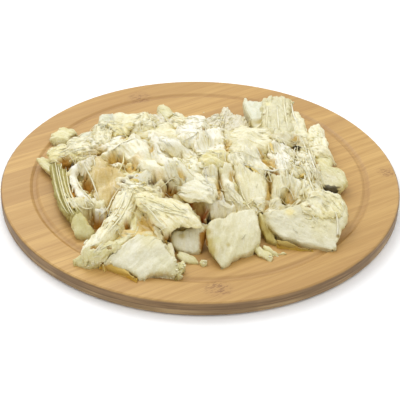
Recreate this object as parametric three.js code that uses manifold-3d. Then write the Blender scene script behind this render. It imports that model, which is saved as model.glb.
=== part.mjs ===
// Dish of shredded salt cod: a round bamboo board with a heap of torn, dried cod on it.
// Millimetres, +Z up, with the origin at the centre of the board's underside.
import * as THREE from 'three';
import { mergeVertices } from 'three/addons/utils/BufferGeometryUtils.js';
import Module from 'manifold-3d';

// Board
const BOARD_RADIUS = 160;
const BOARD_THICKNESS = 12;
const EDGE_ROUNDING = 1.5;
const GROOVE_INNER_RADIUS = 130;
const GROOVE_OUTER_RADIUS = 137;
const GROOVE_DEPTH = 1.2;
const BOARD_SEGMENTS = 96;

// Gaps under the pieces and between them, how much more a piece's rim grows where it cuts its
// neighbours, because it grows outwards from the middle, and the finest joint kept
const GAP_OVER_BOARD = 0.35;
const GAP_BETWEEN = 0.6;
const RIM_GROWTH = 2;
const FINEST_DETAIL = 0.05;

// Heap of small pieces: the core under them is an uneven mound
const MOUND_CENTRE = [-6, -22];
const MOUND_CORNERS = [
  [98, 0], [92, 50], [40, 86], [-40, 92], [-80, 70], [-98, 10], [-84, -62], [-40, -72], [70, -68],
];
const MOUND_CELLS = [16, 14];
const MOUND_EDGE_HEIGHT = 5;
const MOUND_HEIGHT = 28;
const MOUND_FULLNESS = 4.5;
const MOUND_BUMP = 1.4;
const MOUND_BUMP_LENGTH = 34;

// Kinds of torn piece. rim: thickness at the rim against the middle, fullness: how flat the faces
// are, squareness: how far the corners reach, ragged: how uneven the rim is, wave: how wavy the
// piece lies, both against its size, cells: steps along its length.
const KINDS = {
  chunk: { rim: 0.6, fullness: 5, squareness: 0.55, ragged: 0.03, wave: 0.025, cells: 7 },
  flake: { rim: 0.28, fullness: 2.5, squareness: 0.35, ragged: 0.1, wave: 0.05, cells: 6 },
  strip: { rim: 0.4, fullness: 3, squareness: 0.7, ragged: 0.07, wave: 0.03, cells: 7 },
};
const RAGGED_LOBES = 5;
const LONGEST_WAVE = 45;
const WAVES_ALONG = 0.6;
const WAVES_ACROSS = 0.4;
const LUMP_HEIGHT = 0.1;
const LUMPS_ALONG = 2.3;
const LUMPS_ACROSS = 1.9;

const TOP = BOARD_THICKNESS;
const DEGREE = Math.PI / 180;

const chunk = (at, thickness, corners, lie) => ({ kind: 'chunk', at, thickness, corners, ...lie });
const flat = (at, thickness, corners, lie) => ({ kind: 'flake', at, thickness, corners, ...lie });
const block = (at, size, thickness, lie) => ({ kind: 'chunk', at, size, thickness, ...lie });
const flake = (at, size, thickness, lie) => ({ kind: 'flake', at, size, thickness, ...lie });
const strip = (at, size, thickness, lie) => ({ kind: 'strip', at, size, thickness, ...lie });

// Pieces that lie apart round the heap, each with its middle, its thickness and how it lies.
// Heights are taken from the top of the board. Where two pieces meet, the later one is cut.
const PIECES = {
  chunk_front_left: chunk([-39, -126, 10], 17,
    [[32, -9], [15, 14], [2, 22], [-16, 15], [-31, -5], [-2, -22], [24, -18]],
    { turn: -4, pitch: 3, roll: 30 }),
  chunk_front_centre: chunk([26, -107, 15], 22,
    [[21, 7], [20, 21], [7, 22], [-18, 15], [-21, -4], [-16, -24], [-10, -28], [19, -9]],
    { turn: 6, pitch: 2, roll: 32 }),
  chunk_front_right: chunk([77, -88, 13], 18,
    [[34, 13], [31, 29], [3, 29], [-28, 14], [-30, -6], [-22, -21], [18, -29], [31, -3]],
    { turn: 6, pitch: -6, roll: 18 }),
  block_front_middle: chunk([-9, -108, 11], 20,
    [[13, 15], [-12, 13], [-12, -4], [-5, -16], [12, -13]],
    { roll: 30 }),
  strand_front_left: strip([-69, -115, 8], [50, 15], 12, { turn: 29, pitch: 12, arch: 2 }),
  lobe_left_front: block([-85, -83, 9], [36, 22], 16,
    { turn: -66, pitch: 2, roll: -8, cells: [6, 5] }),
  fibre_bundle_left: strip([-106, -34, 8], [74, 21], 14,
    { turn: -79, pitch: -4, arch: 3, cells: [10, 4] }),
  flake_left_top: flat([-112, 46, 5], 12,
    [[-13, 3], [-9, 9], [-2, 12], [7, 11], [12, 2], [6, -8], [-10, -9]],
    { turn: -6, pitch: 6, roll: 12 }),
  flake_back_left: flat([-61, 60, 9], 17,
    [[-23, 0], [-20, 11], [8, 13], [24, 2], [14, -12], [-14, -11]],
    { turn: -10, pitch: 5, roll: 10 }),
  slab_back_right: chunk([60, 56, 12], 25,
    [[16, 32], [8, 38], [-4, 37], [-25, 29], [-17, -10], [-5, -35], [33, -31], [21, 9]],
    { turn: -4, roll: -2 }),
  piece_right_back: block([101, 33, 9], [42, 22], 16,
    { turn: -82, pitch: 2, roll: -10, cells: [7, 4] }),
  flake_right: flat([101, -10, 8], 13,
    [[-13, 20], [-6, 22], [5, 12], [16, 4], [20, -7], [12, -18], [2, -18], [-18, 6]],
    { turn: -30, pitch: -12, roll: 4 }),
};

// Pieces that show on the heap, fused to its core, from the left of the board to the right
const HEAP_PIECES = [
  strip([-119, 6, 8], [26, 11], 9, { turn: -46, pitch: 10 }),
  flake([-101, 2, 16], [50, 22], 10, { turn: -30, pitch: 14, roll: 10 }),
  strip([-88, -52, 22], [56, 9], 7, { turn: -69, pitch: -6 }),
  flake([-88, -22, 24], [38, 20], 7, { turn: -66, pitch: 2 }),
  flake([-74, -48, 22], [76, 25], 6, { turn: -76, pitch: -8, roll: -12 }),
  flake([-73, 17, 22], [40, 20], 8, { turn: 22, pitch: 6, roll: 12 }),
  strip([-70, -88, 19], [60, 17], 8, { turn: 57, pitch: 20 }),
  flake([-64, -24, 25], [44, 18], 6, { turn: -12, roll: 18 }),
  strip([-60, -62, 25], [54, 17], 7, { turn: 62, pitch: 10 }),
  strip([-46, -3, 31], [48, 16], 8, { turn: -56, pitch: 8, arch: 3 }),
  strip([-45, -36, 30], [76, 17], 9, { turn: -35, pitch: 2, arch: 4 }),
  strip([-42, -96, 26], [36, 10], 6, { turn: -70, pitch: -24 }),
  flake([-40, -66, 30], [46, 24], 7, { turn: 30, roll: 14 }),
  flake([-33, 50, 17], [36, 24], 10, { turn: -34, pitch: 8, roll: 14 }),
  strip([-31, 70, 12], [26, 10], 8, { turn: 62, pitch: 16 }),
  strip([-27, -98, 25], [38, 12], 6, { turn: -54, pitch: -24 }),
  flake([-24, -84, 30], [60, 24], 7, { turn: -16, roll: 26, arch: 2 }),
  flake([-22, 12, 30], [44, 26], 8, { turn: -22, roll: 12 }),
  flake([-14, -36, 33], [36, 20], 8, { turn: -46, roll: 6 }),
  flake([-7, 36, 22], [38, 30], 12, { turn: 4, roll: 14 }),
  flake([0, -63, 29], [32, 26], 10, { turn: 3, roll: 24 }),
  flake([12, -28, 34], [40, 24], 8, { turn: -6, roll: 12, arch: 2 }),
  flake([12, 22, 29], [36, 22], 8, { turn: 26, roll: 8 }),
  strip([19, -62, 28], [44, 13], 8, { turn: -80, pitch: -14, roll: -8 }),
  flake([27, 52, 15], [38, 24], 9, { turn: 10, roll: 14 }),
  flake([40, 5, 29], [48, 28], 8, { turn: 15, pitch: -2, roll: 10 }),
  strip([41, -58, 28], [48, 22], 9, { turn: -76, pitch: -14 }),
  flake([54, -22, 30], [40, 22], 7, { turn: -24, roll: 14 }),
  flake([58, 20, 25], [30, 22], 8, { turn: -8, roll: 8 }),
  strip([60, -52, 26], [36, 12], 8, { turn: -75, pitch: -12, roll: 8 }),
  strip([75, -44, 25], [42, 16], 8, { turn: -66, pitch: -8 }),
  flake([80, 20, 21], [34, 24], 8, { turn: -34, roll: -6 }),
  flake([82, -10, 22], [42, 20], 8, { turn: -52, pitch: -8, roll: -8 }),
  strip([90, -36, 20], [46, 14], 7, { turn: -62, pitch: -10, roll: 6 }),
];

const wasm = await Module();
wasm.setup();

// Seeded random numbers between -1 and 1
function seededRandom(seed) {
  let state = seed * 7919 + 17;
  return () => {
    state = (state + 0x6d2b79f5) | 0;
    let mixed = Math.imul(state ^ (state >>> 15), 1 | state);
    mixed = (mixed + Math.imul(mixed ^ (mixed >>> 7), 61 | mixed)) ^ mixed;
    return (((mixed ^ (mixed >>> 14)) >>> 0) / 4294967296) * 2 - 1;
  };
}

function solidFrom(geometry) {
  const bare = geometry.clone();
  bare.deleteAttribute('normal');
  bare.deleteAttribute('uv');
  const merged = mergeVertices(bare, 1e-4);
  return new wasm.Manifold(new wasm.Mesh({
    numProp: 3,
    vertProperties: new Float32Array(merged.attributes.position.array),
    triVerts: new Uint32Array(merged.index.array),
  }));
}

function geometryFrom(solid) {
  const mesh = solid.getMesh();
  const geometry = new THREE.BufferGeometry();
  geometry.setAttribute('position', new THREE.BufferAttribute(mesh.vertProperties, 3));
  geometry.setIndex(new THREE.BufferAttribute(mesh.triVerts, 1));
  return geometry;
}

// A slab on a square grid. The place function turns grid coordinates from -1 to 1 and a side,
// +1 for the upper face and -1 for the lower, into a point. Both faces share one triangulation.
function slabGeometry(cellsLong, cellsWide, place) {
  const grid = new THREE.PlaneGeometry(2, 2, cellsLong, cellsWide);
  const nodes = grid.attributes.position;
  const lower = nodes.count;
  const points = [];
  for (const side of [1, -1]) {
    for (let i = 0; i < nodes.count; i++) {
      points.push(...place(nodes.getX(i), nodes.getY(i), side).toArray());
    }
  }
  const index = [...grid.index.array];
  for (let i = 0; i < grid.index.count; i += 3) {
    const [a, b, c] = grid.index.array.slice(i, i + 3);
    index.push(lower + a, lower + c, lower + b);
  }
  const row = cellsLong + 1;
  const border = [];
  for (let i = 0; i < cellsLong; i++) border.push(cellsWide * row + i);
  for (let j = cellsWide; j > 0; j--) border.push(j * row + cellsLong);
  for (let i = cellsLong; i > 0; i--) border.push(i);
  for (let j = 0; j < cellsWide; j++) border.push(j * row);
  border.forEach((a, k) => {
    const b = border[(k + 1) % border.length];
    index.push(lower + a, lower + b, b, lower + a, b, a);
  });
  const geometry = new THREE.BufferGeometry();
  geometry.setAttribute('position', new THREE.Float32BufferAttribute(points, 3));
  geometry.setIndex(index);
  return geometry;
}

// Brings the square grid towards a disc: squareness 0 gives the disc, 1 keeps the square
function roundedSquare(u, v, squareness) {
  const x = u * Math.sqrt(1 - v * v / 2);
  const y = v * Math.sqrt(1 - u * u / 2);
  return [x + (u - x) * squareness, y + (v - y) * squareness];
}

// How far an outline through the given corners reaches from its middle in one direction
function reachOf(corners, angle) {
  const [dx, dy] = [Math.cos(angle), Math.sin(angle)];
  let reach = 0;
  corners.forEach(([ax, ay], i) => {
    const [bx, by] = corners[(i + 1) % corners.length];
    const across = dx * (by - ay) - dy * (bx - ax);
    const along = (dy * ax - dx * ay) / across;
    if (along < 0 || along > 1) return;
    reach = Math.max(reach, (ax * (by - ay) - ay * (bx - ax)) / across);
  });
  return reach;
}

// A torn piece of cod, grown by a gap all round where it is used to cut its neighbours.
// Its fibres run along its length: turn is their direction in plan from +X, pitch the rise of the
// far end and roll the rise of the left side, in degrees, and arch the height of the middle.
function tornPiece(piece, seed, grow = 0) {
  const { corners, thickness, turn = 0, pitch = 0, roll = 0, arch = 0 } = piece;
  const kind = KINDS[piece.kind];
  const [length, width] = piece.size ?? [2, 2];
  const span = corners ? 2 * Math.max(...corners.flat()) : length;
  const random = seededRandom(seed);
  const lobes = Array.from({ length: RAGGED_LOBES }, (_, k) => [k + 2, random() * Math.PI, random()]);
  const shift = [random() * Math.PI, random() * Math.PI, random() * Math.PI];
  const waveHeight = kind.wave * span;
  const waveLength = Math.min(span, LONGEST_WAVE);
  const rimHalf = thickness * kind.rim / 2;
  const turned = new THREE.Euler(roll * DEGREE, -pitch * DEGREE, turn * DEGREE, 'ZYX');
  const middle = new THREE.Vector3(piece.at[0], piece.at[1], piece.at[2] + TOP);

  const cellsLong = piece.cells?.[0] ?? kind.cells;
  const cellsWide = piece.cells?.[1] ?? Math.max(2, Math.round(cellsLong * width / length));
  return slabGeometry(cellsLong, cellsWide, (u, v, side) => {
    const [a, b] = roundedSquare(u, v, corners ? 0 : kind.squareness);
    const angle = Math.atan2(b, a);
    const out = Math.max(Math.abs(u), Math.abs(v));
    const torn = lobes.reduce((sum, [count, start, size]) => sum + size * Math.sin(count * angle + start), 0);
    const scale = 1 + kind.ragged * torn * out;
    const stretch = corners ? reachOf(corners, angle) : 1;
    const x = a * scale * length / 2 * stretch;
    const y = b * scale * width / 2 * stretch;
    const half = rimHalf + (thickness / 2 - rimHalf) * (1 - out ** kind.fullness);
    const wave = WAVES_ALONG * Math.sin(2 * Math.PI * x / waveLength + shift[0])
      + WAVES_ACROSS * Math.sin(2 * Math.PI * y / waveLength + x / waveLength + shift[1]);
    const lump = Math.sin(LUMPS_ALONG * u + LUMPS_ACROSS * v + shift[2] * side);
    const z = waveHeight * wave + arch * (1 - u * u) + LUMP_HEIGHT * thickness * lump + side * (half + grow);
    const rim = new THREE.Vector3(a, b, 0).multiplyScalar(RIM_GROWTH * grow);
    return new THREE.Vector3(x, y, z).add(rim).applyEuler(turned).add(middle);
  });
}

// One turned piece: flat base, rounded edge, level top with a shallow groove near the rim
function boardGeometry() {
  const slope = (GROOVE_OUTER_RADIUS - GROOVE_INNER_RADIUS) / 3;
  const profile = [
    [0, 0],
    [BOARD_RADIUS - EDGE_ROUNDING, 0],
    [BOARD_RADIUS, EDGE_ROUNDING],
    [BOARD_RADIUS, TOP - EDGE_ROUNDING],
    [BOARD_RADIUS - EDGE_ROUNDING, TOP],
    [GROOVE_OUTER_RADIUS, TOP],
    [GROOVE_OUTER_RADIUS - slope, TOP - GROOVE_DEPTH],
    [GROOVE_INNER_RADIUS + slope, TOP - GROOVE_DEPTH],
    [GROOVE_INNER_RADIUS, TOP],
    [0, TOP],
  ].map(([radius, height]) => new THREE.Vector2(radius, height));
  return new THREE.LatheGeometry(profile, BOARD_SEGMENTS).rotateX(Math.PI / 2);
}

// The mound under the pieces that show: flat below, low at the rim, uneven on top
function moundGeometry() {
  return slabGeometry(MOUND_CELLS[0], MOUND_CELLS[1], (u, v, side) => {
    const [a, b] = roundedSquare(u, v, 0);
    const reach = reachOf(MOUND_CORNERS, Math.atan2(b, a));
    const x = MOUND_CENTRE[0] + a * reach;
    const y = MOUND_CENTRE[1] + b * reach;
    const bump = MOUND_BUMP * (Math.sin(2 * Math.PI * x / MOUND_BUMP_LENGTH)
      + Math.sin(2 * Math.PI * (y + x / 3) / MOUND_BUMP_LENGTH));
    const dome = (MOUND_HEIGHT - MOUND_EDGE_HEIGHT) * (1 - Math.hypot(a, b) ** MOUND_FULLNESS);
    return new THREE.Vector3(x, y, side > 0 ? TOP + MOUND_EDGE_HEIGHT + dome + bump : 0);
  });
}

// All that stands on the board starts one gap above it
function spaceOverBoard() {
  const height = 4 * MOUND_HEIGHT;
  const box = new THREE.BoxGeometry(2 * BOARD_RADIUS, 2 * BOARD_RADIUS, height);
  return solidFrom(box.translate(0, 0, TOP + GAP_OVER_BOARD + height / 2));
}

// The largest body alone, so that loose scraps go and sealed hollows are filled
function largestBody(solid) {
  return solid.decompose().reduce((best, body) => (body.volume() > best.volume() ? body : best));
}

function material(colour, roughness) {
  return new THREE.MeshStandardMaterial({ color: colour, roughness, metalness: 0 });
}

function namedMesh(name, geometry, finish) {
  const mesh = new THREE.Mesh(geometry, finish);
  mesh.name = name;
  return mesh;
}

const dish = new THREE.Group();
dish.add(namedMesh('bamboo_board', boardGeometry(), material(0xd3aa70, 0.55)));

const cod = material(0xeae4cc, 0.6);
const overBoard = spaceOverBoard();
const neighbours = [];
Object.entries(PIECES).forEach(([name, piece], i) => {
  let solid = solidFrom(tornPiece(piece, i)).intersect(overBoard);
  for (const neighbour of neighbours) solid = solid.subtract(neighbour);
  dish.add(namedMesh(name, geometryFrom(largestBody(solid)), cod));
  neighbours.push(solidFrom(tornPiece(piece, i, GAP_BETWEEN)));
});

let heap = solidFrom(moundGeometry());
HEAP_PIECES.forEach((piece, i) => {
  heap = heap.add(solidFrom(tornPiece(piece, neighbours.length + i)));
});
heap = heap.simplify(FINEST_DETAIL).intersect(overBoard);
for (const neighbour of neighbours) heap = heap.subtract(neighbour);
dish.add(namedMesh('cod_heap', geometryFrom(largestBody(heap)), cod));

export default dish;
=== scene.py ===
import math
import random

import bpy
import numpy as np
from mathutils import Matrix, Vector, noise
from mathutils.bvhtree import BVHTree


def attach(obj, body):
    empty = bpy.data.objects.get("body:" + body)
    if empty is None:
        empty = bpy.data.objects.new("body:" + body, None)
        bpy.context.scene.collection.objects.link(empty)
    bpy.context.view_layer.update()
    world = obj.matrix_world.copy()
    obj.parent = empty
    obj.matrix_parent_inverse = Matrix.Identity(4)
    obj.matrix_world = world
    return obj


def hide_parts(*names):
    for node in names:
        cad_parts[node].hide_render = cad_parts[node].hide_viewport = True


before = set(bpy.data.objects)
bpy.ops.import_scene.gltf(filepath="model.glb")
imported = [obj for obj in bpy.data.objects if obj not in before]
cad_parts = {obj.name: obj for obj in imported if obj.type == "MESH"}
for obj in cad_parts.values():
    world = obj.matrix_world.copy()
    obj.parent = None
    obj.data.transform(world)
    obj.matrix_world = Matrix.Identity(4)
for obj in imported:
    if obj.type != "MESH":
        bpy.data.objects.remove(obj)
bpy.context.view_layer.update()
MM = 0.001

# ---- Camera and room ----
# The photograph was taken from the front with a long lens, looking down at the board. The room is
# a pale floor under a white ceiling that is brighter than the walls, and one large soft lamp hangs
# over the back left of the board, so the soft shadows fall to the front and to the right.
PHOTO_SIDE = 400
SENSOR = 36.0
LENS = 106.83
LOOK_DOWN = math.radians(34.588)
CAMERA_ROLL = math.radians(1.02)
CAMERA_PLACE = Vector((0, -0.8008, 0.5415))
across_picture = Vector((1, 0, 0))
up_picture = Vector((0, math.sin(LOOK_DOWN), math.cos(LOOK_DOWN)))
to_camera = Vector((0, -math.cos(LOOK_DOWN), math.sin(LOOK_DOWN)))
camera_turn = Matrix((across_picture, up_picture, to_camera)).transposed()
camera_turn = camera_turn @ Matrix.Rotation(CAMERA_ROLL, 3, "Z")
bpy.ops.object.camera_add(location=CAMERA_PLACE, rotation=camera_turn.to_euler())
camera = bpy.context.object
camera.data.sensor_width = SENSOR
camera.data.lens = LENS
camera.data.clip_start = 0.01
scene = bpy.context.scene
scene.camera = camera

FLOOR_SIDE = 8
FLOOR_DROP = 0.3 * MM
FLOOR_PAINT = (0.93, 0.93, 0.93, 1)
bpy.ops.mesh.primitive_plane_add(size=FLOOR_SIDE, location=(0, 0, -FLOOR_DROP))
floor = bpy.context.object
floor.name = "studio_floor"
floor_paint = bpy.data.materials.new("pale_floor")
floor_paint.use_nodes = True
floor_shader = floor_paint.node_tree.nodes["Principled BSDF"]
floor_shader.inputs["Base Color"].default_value = FLOOR_PAINT
floor_shader.inputs["Roughness"].default_value = 0.9
floor.data.materials.append(floor_paint)

WALL_LIGHT = 0.62
CEILING_LIGHT = 1.3
WALL_ENDS = 0.05
sky = bpy.data.worlds.new("studio_sky")
sky.use_nodes = True
sky.node_tree.nodes["Background"].inputs["Color"].default_value = (1, 1, 1, 1)
sky_steps = sky.node_tree.nodes
sky_way = sky_steps.new("ShaderNodeTexCoord")
sky_parts = sky_steps.new("ShaderNodeSeparateXYZ")
sky_light = sky_steps.new("ShaderNodeMapRange")
sky_light.interpolation_type = "SMOOTHSTEP"
sky_light.inputs["From Min"].default_value = WALL_ENDS
sky_light.inputs["To Min"].default_value = WALL_LIGHT
sky_light.inputs["To Max"].default_value = CEILING_LIGHT
sky.node_tree.links.new(sky_way.outputs["Generated"], sky_parts.inputs[0])
sky.node_tree.links.new(sky_parts.outputs["Z"], sky_light.inputs["Value"])
sky.node_tree.links.new(sky_light.outputs[0], sky_steps["Background"].inputs["Strength"])
scene.world = sky
scene.view_settings.view_transform = "Standard"

LAMP_PLACE = Vector((-0.45, 0.75, 1.1))
LAMP_SIDE = 0.7
LAMP_POWER = 6.0
bpy.ops.object.light_add(type="AREA", location=LAMP_PLACE)
lamp = bpy.context.object
lamp.name = "soft_lamp"
lamp.data.size = LAMP_SIDE
lamp.data.energy = LAMP_POWER
lamp.rotation_euler = LAMP_PLACE.to_track_quat("Z", "Y").to_euler()


# ---- Bamboo board ----
# The board is glued from bamboo strips that run aslant, in two layers with a glue line half way up
# its edge. It is planed, turned round and oiled, and a shallow ring is cut near its rim.
class Finish:
    """A material's node tree, with short ways to add the steps of a pattern."""

    def __init__(self, name):
        self.material = bpy.data.materials.new(name)
        self.material.use_nodes = True
        self.tree = self.material.node_tree
        self.shader = self.tree.nodes["Principled BSDF"]
        self.place = self.tree.nodes.new("ShaderNodeTexCoord").outputs["Object"]

    def join(self, value, socket):
        if isinstance(value, bpy.types.NodeSocket):
            self.tree.links.new(value, socket)
        else:
            socket.default_value = value

    def step(self, kind, inputs, output=0, **settings):
        made = self.tree.nodes.new(kind)
        for key, value in settings.items():
            setattr(made, key, value)
        for key, value in inputs.items():
            self.join(value, made.inputs[key])
        return made.outputs[output]

    def attribute(self, name, output="Vector"):
        made = self.tree.nodes.new("ShaderNodeAttribute")
        made.attribute_name = name
        return made.outputs[output]

    def stretched(self, vector, scale, turn=0.0, shift=(0, 0, 0)):
        return self.step(
            "ShaderNodeMapping",
            {"Vector": vector, "Scale": scale, "Rotation": (0, 0, turn), "Location": shift},
        )

    def noise(self, vector, scale=1.0, detail=2.0, roughness=0.5, output="Fac"):
        return self.step(
            "ShaderNodeTexNoise",
            {"Vector": vector, "Scale": scale, "Detail": detail, "Roughness": roughness},
            output,
        )

    def sum(self, a, b, how="ADD", clamp=False):
        return self.step("ShaderNodeMath", {0: a, 1: b}, operation=how, use_clamp=clamp)

    def band(self, value, low, high, to_low=0.0, to_high=1.0):
        return self.step(
            "ShaderNodeMapRange",
            {
                "Value": value, "From Min": low, "From Max": high,
                "To Min": to_low, "To Max": to_high,
            },
            interpolation_type="SMOOTHSTEP",
        )

    def between(self, value, starts, full, fading, ends):
        """A band that is full in its middle and fades out to both sides."""
        fading_out = self.band(value, fading, ends, 1.0, 0.0)
        return self.sum(self.band(value, starts, full), fading_out, "MULTIPLY")

    def blend(self, share, a, b, how="MIX"):
        made = self.tree.nodes.new("ShaderNodeMix")
        made.data_type = "RGBA"
        made.blend_type = how
        self.join(share, made.inputs["Factor"])
        self.join(a, made.inputs[6])
        self.join(b, made.inputs[7])
        return made.outputs[2]


def rgb(red, green, blue):
    """A colour given as in an image, 0 to 255, made linear."""
    return tuple(
        (c / 255 / 12.92) if c <= 10 else ((c / 255 + 0.055) / 1.055) ** 2.4
        for c in (red, green, blue)
    ) + (1.0,)


BOARD_TOP = 12 * MM
UNDER_BOARD_TOP = 10.4 * MM
GRAIN_TURN = math.radians(33)
STRIP_WIDTH = 21 * MM
SEAM_SHARE = 0.03
RING = (129.5 * MM, 132 * MM, 135 * MM, 137.5 * MM)
GLUE_LINE = (5.3 * MM, 5.8 * MM, 5.9 * MM, 6.4 * MM)
LAYERS_MEET = (5.6 * MM, 6.1 * MM)
ROUNDED_RIM = (157.8 * MM, 158.4 * MM)
ROUNDED_TOP = (10.6 * MM, 11.6 * MM)
# Each knot as its middle and its reach in millimetres
KNOTS = [(14, -143, 13), (152, 12, 10), (-56, 128, 13)]
LIGHT_BAMBOO = rgb(205, 167, 101)
DARK_BAMBOO = rgb(180, 140, 78)
DARK_STRIP = rgb(168, 128, 72)
CLOUDED = rgb(178, 136, 76)
FINE_STREAK = rgb(154, 112, 65)
SEAM = rgb(150, 110, 65)
KNOT = rgb(160, 116, 70)
FLECK = rgb(122, 82, 46)
RING_SHADE = rgb(146, 107, 64)
# The two plies of the turned edge are painted much darker than the top: their own darker colour and
# painted shade of the side, which gets less light than the top.
UPPER_PLY_AND_SHADE = (rgb(142, 112, 72), rgb(112, 84, 50))
LOWER_PLY_AND_SHADE = (rgb(168, 140, 98), rgb(134, 106, 68))
GLUE = rgb(84, 58, 32)
EDGE_BLOCK = rgb(112, 86, 54)

bamboo = Finish("oiled_bamboo")
along_grain = bamboo.stretched(bamboo.place, (1, 1, 1), turn=-GRAIN_TURN)
split = bamboo.step("ShaderNodeSeparateXYZ", {"Vector": along_grain}, "Y")
height = bamboo.step("ShaderNodeSeparateXYZ", {"Vector": bamboo.place}, "Z")
strips = bamboo.sum(split, STRIP_WIDTH, "DIVIDE")
strip_tone = bamboo.step(
    "ShaderNodeTexWhiteNoise", {"W": bamboo.sum(strips, 0.0, "FLOOR")}, "Value",
    noise_dimensions="1D",
)
streaks = bamboo.noise(bamboo.stretched(along_grain, (9, 260, 60)), 1.0, 3.0, 0.6)
fine_streaks = bamboo.noise(bamboo.stretched(along_grain, (40, 1100, 300)), 1.0, 2.0, 0.5)
clouds = bamboo.noise(bamboo.stretched(along_grain, (14, 34, 20)), 1.0, 2.0, 0.5)
seams = bamboo.band(bamboo.sum(strips, 0.0, "FRACT"), 0.0, SEAM_SHARE, 0.35, 0.0)
top_colour = bamboo.blend(bamboo.band(streaks, 0.3, 0.72), LIGHT_BAMBOO, DARK_BAMBOO)
top_colour = bamboo.blend(bamboo.band(strip_tone, 0.0, 1.0, 0.0, 0.6), top_colour, DARK_STRIP)
top_colour = bamboo.blend(bamboo.band(clouds, 0.4, 0.75, 0.0, 0.35), top_colour, CLOUDED)
top_colour = bamboo.blend(bamboo.band(fine_streaks, 0.5, 0.8, 0.0, 0.3), top_colour, FINE_STREAK)
top_colour = bamboo.blend(seams, top_colour, SEAM)
marks = 0.0
for x, y, reach in KNOTS:
    away = bamboo.step(
        "ShaderNodeVectorMath",
        {0: bamboo.stretched(bamboo.place, (1, 1, 0.2), shift=(-x * MM, -y * MM, 0))},
        "Value",
        operation="LENGTH",
    )
    knot = bamboo.band(away, 0.4 * reach * MM, reach * MM, 1.0, 0.0)
    marks = bamboo.sum(marks, knot, "MAXIMUM")
flecks = bamboo.noise(bamboo.stretched(along_grain, (260, 900, 300)), 1.0, 2.0, 0.6)
flecks = bamboo.sum(bamboo.band(flecks, 0.5, 0.62, 0.0, 0.7), marks, "MULTIPLY")
top_colour = bamboo.blend(bamboo.sum(marks, 0.22, "MULTIPLY"), top_colour, KNOT)
top_colour = bamboo.blend(flecks, top_colour, FLECK)
flattened = {0: bamboo.place, 1: (1, 1, 0)}
flattened = bamboo.step("ShaderNodeVectorMath", flattened, operation="MULTIPLY")
from_middle = bamboo.step("ShaderNodeVectorMath", {0: flattened}, "Value", operation="LENGTH")
in_ring = bamboo.sum(bamboo.between(from_middle, *RING), 0.32, "MULTIPLY")
top_colour = bamboo.blend(in_ring, top_colour, RING_SHADE)
edge_streaks = bamboo.noise(bamboo.stretched(bamboo.place, (30, 30, 700)), 1.0, 3.0, 0.6)
edge_streaks = bamboo.band(edge_streaks, 0.35, 0.65)
edge_blocks = bamboo.noise(bamboo.stretched(bamboo.place, (28, 28, 4)), 1.0, 0.0, 0.5)
upper_layer = bamboo.blend(edge_streaks, *UPPER_PLY_AND_SHADE)
lower_layer = bamboo.blend(edge_streaks, *LOWER_PLY_AND_SHADE)
edge_colour = bamboo.blend(bamboo.band(height, *LAYERS_MEET), lower_layer, upper_layer)
glue = bamboo.sum(bamboo.between(height, *GLUE_LINE), 0.6, "MULTIPLY")
edge_colour = bamboo.blend(glue, edge_colour, GLUE)
edge_colour = bamboo.blend(bamboo.band(edge_blocks, 0.45, 0.55, 0.0, 0.4), edge_colour, EDGE_BLOCK)
under_top = bamboo.band(height, *ROUNDED_TOP, 1.0, 0.0)
on_edge = bamboo.sum(under_top, bamboo.band(from_middle, *ROUNDED_RIM), "MULTIPLY")
bamboo.join(bamboo.blend(on_edge, top_colour, edge_colour), bamboo.shader.inputs["Base Color"])
bamboo.shader.inputs["Roughness"].default_value = 0.5
board_grain = bamboo.sum(streaks, fine_streaks)
board_relief = bamboo.step(
    "ShaderNodeBump", {"Height": board_grain, "Strength": 0.12, "Distance": 0.4 * MM}
)
bamboo.join(board_relief, bamboo.shader.inputs["Normal"])
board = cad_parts["bamboo_board"]
board.data.materials.clear()
board.data.materials.append(bamboo.material)


# ---- Middle of the heap ----
# Under the pieces that show lies more torn cod, soaked and pressed together. It shows between the
# flakes, where it is as pale as they are.
HEAP_MIDDLE = (-5 * MM, -25 * MM)
HEAP_REACH = (118 * MM, 112 * MM, 100 * MM)
HEAP_RIM = 6 * MM
HEAP_DOME = 27 * MM
CORE_UNDER = 5.0 * MM
HEAP_FRONT = -84 * MM
HEAP_FRONT_RISE = 0.8
CORE_CELL = 1.1 * MM
CORE_BLOCK = 10 * MM
CORE_SHARE = (0.86, 0.84)
# The ground is kept as heights on a square grid, so that each piece can come to lie on the last
GRID = 1.0 * MM
GRID_HALF = 170

YELLOW = rgb(232, 225, 176)

ground = np.full((2 * GRID_HALF, 2 * GRID_HALF), BOARD_TOP)


def heap_height(x, y):
    """How high the heap lies roughly, for numbers or arrays. The chunks lie in front of it."""
    across = (x - HEAP_MIDDLE[0]) / HEAP_REACH[0]
    deep = (y - HEAP_MIDDLE[1]) / np.where(y < HEAP_MIDDLE[1], HEAP_REACH[1], HEAP_REACH[2])
    dome = HEAP_RIM + HEAP_DOME * (1 - np.minimum(across**2 + deep**2, 1) ** 1.5)
    front = CORE_UNDER + HEAP_FRONT_RISE * (y - HEAP_FRONT - 0.2 * np.maximum(x, 0))
    return BOARD_TOP + np.minimum(dome, np.maximum(front, 0))


def sight(px, py):
    """The direction from the camera through a pixel of the photograph, in its 400 x 400 frame."""
    right, up = (px - PHOTO_SIDE / 2) / PHOTO_SIDE, (PHOTO_SIDE / 2 - py) / PHOTO_SIDE
    return camera_turn @ Vector((right * SENSOR / LENS, up * SENSOR / LENS, -1))


def seen_through(px, py, height_at):
    """The first point seen through a pixel of the photograph on a surface of the given height."""
    ray = sight(px, py)
    z = BOARD_TOP + 75 * MM
    while z > BOARD_TOP:
        spot = CAMERA_PLACE + ray * ((z - CAMERA_PLACE.z) / ray.z)
        if float(height_at(spot.x, spot.y)) >= z:
            break
        z -= 0.25 * MM
    return spot.xy


def measure(part):
    places = np.empty(len(part.data.vertices) * 3)
    part.data.vertices.foreach_get("co", places)
    return places.reshape(-1, 3)


def put_back(part, places):
    part.data.vertices.foreach_set("co", places.ravel())
    part.data.update()


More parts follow.
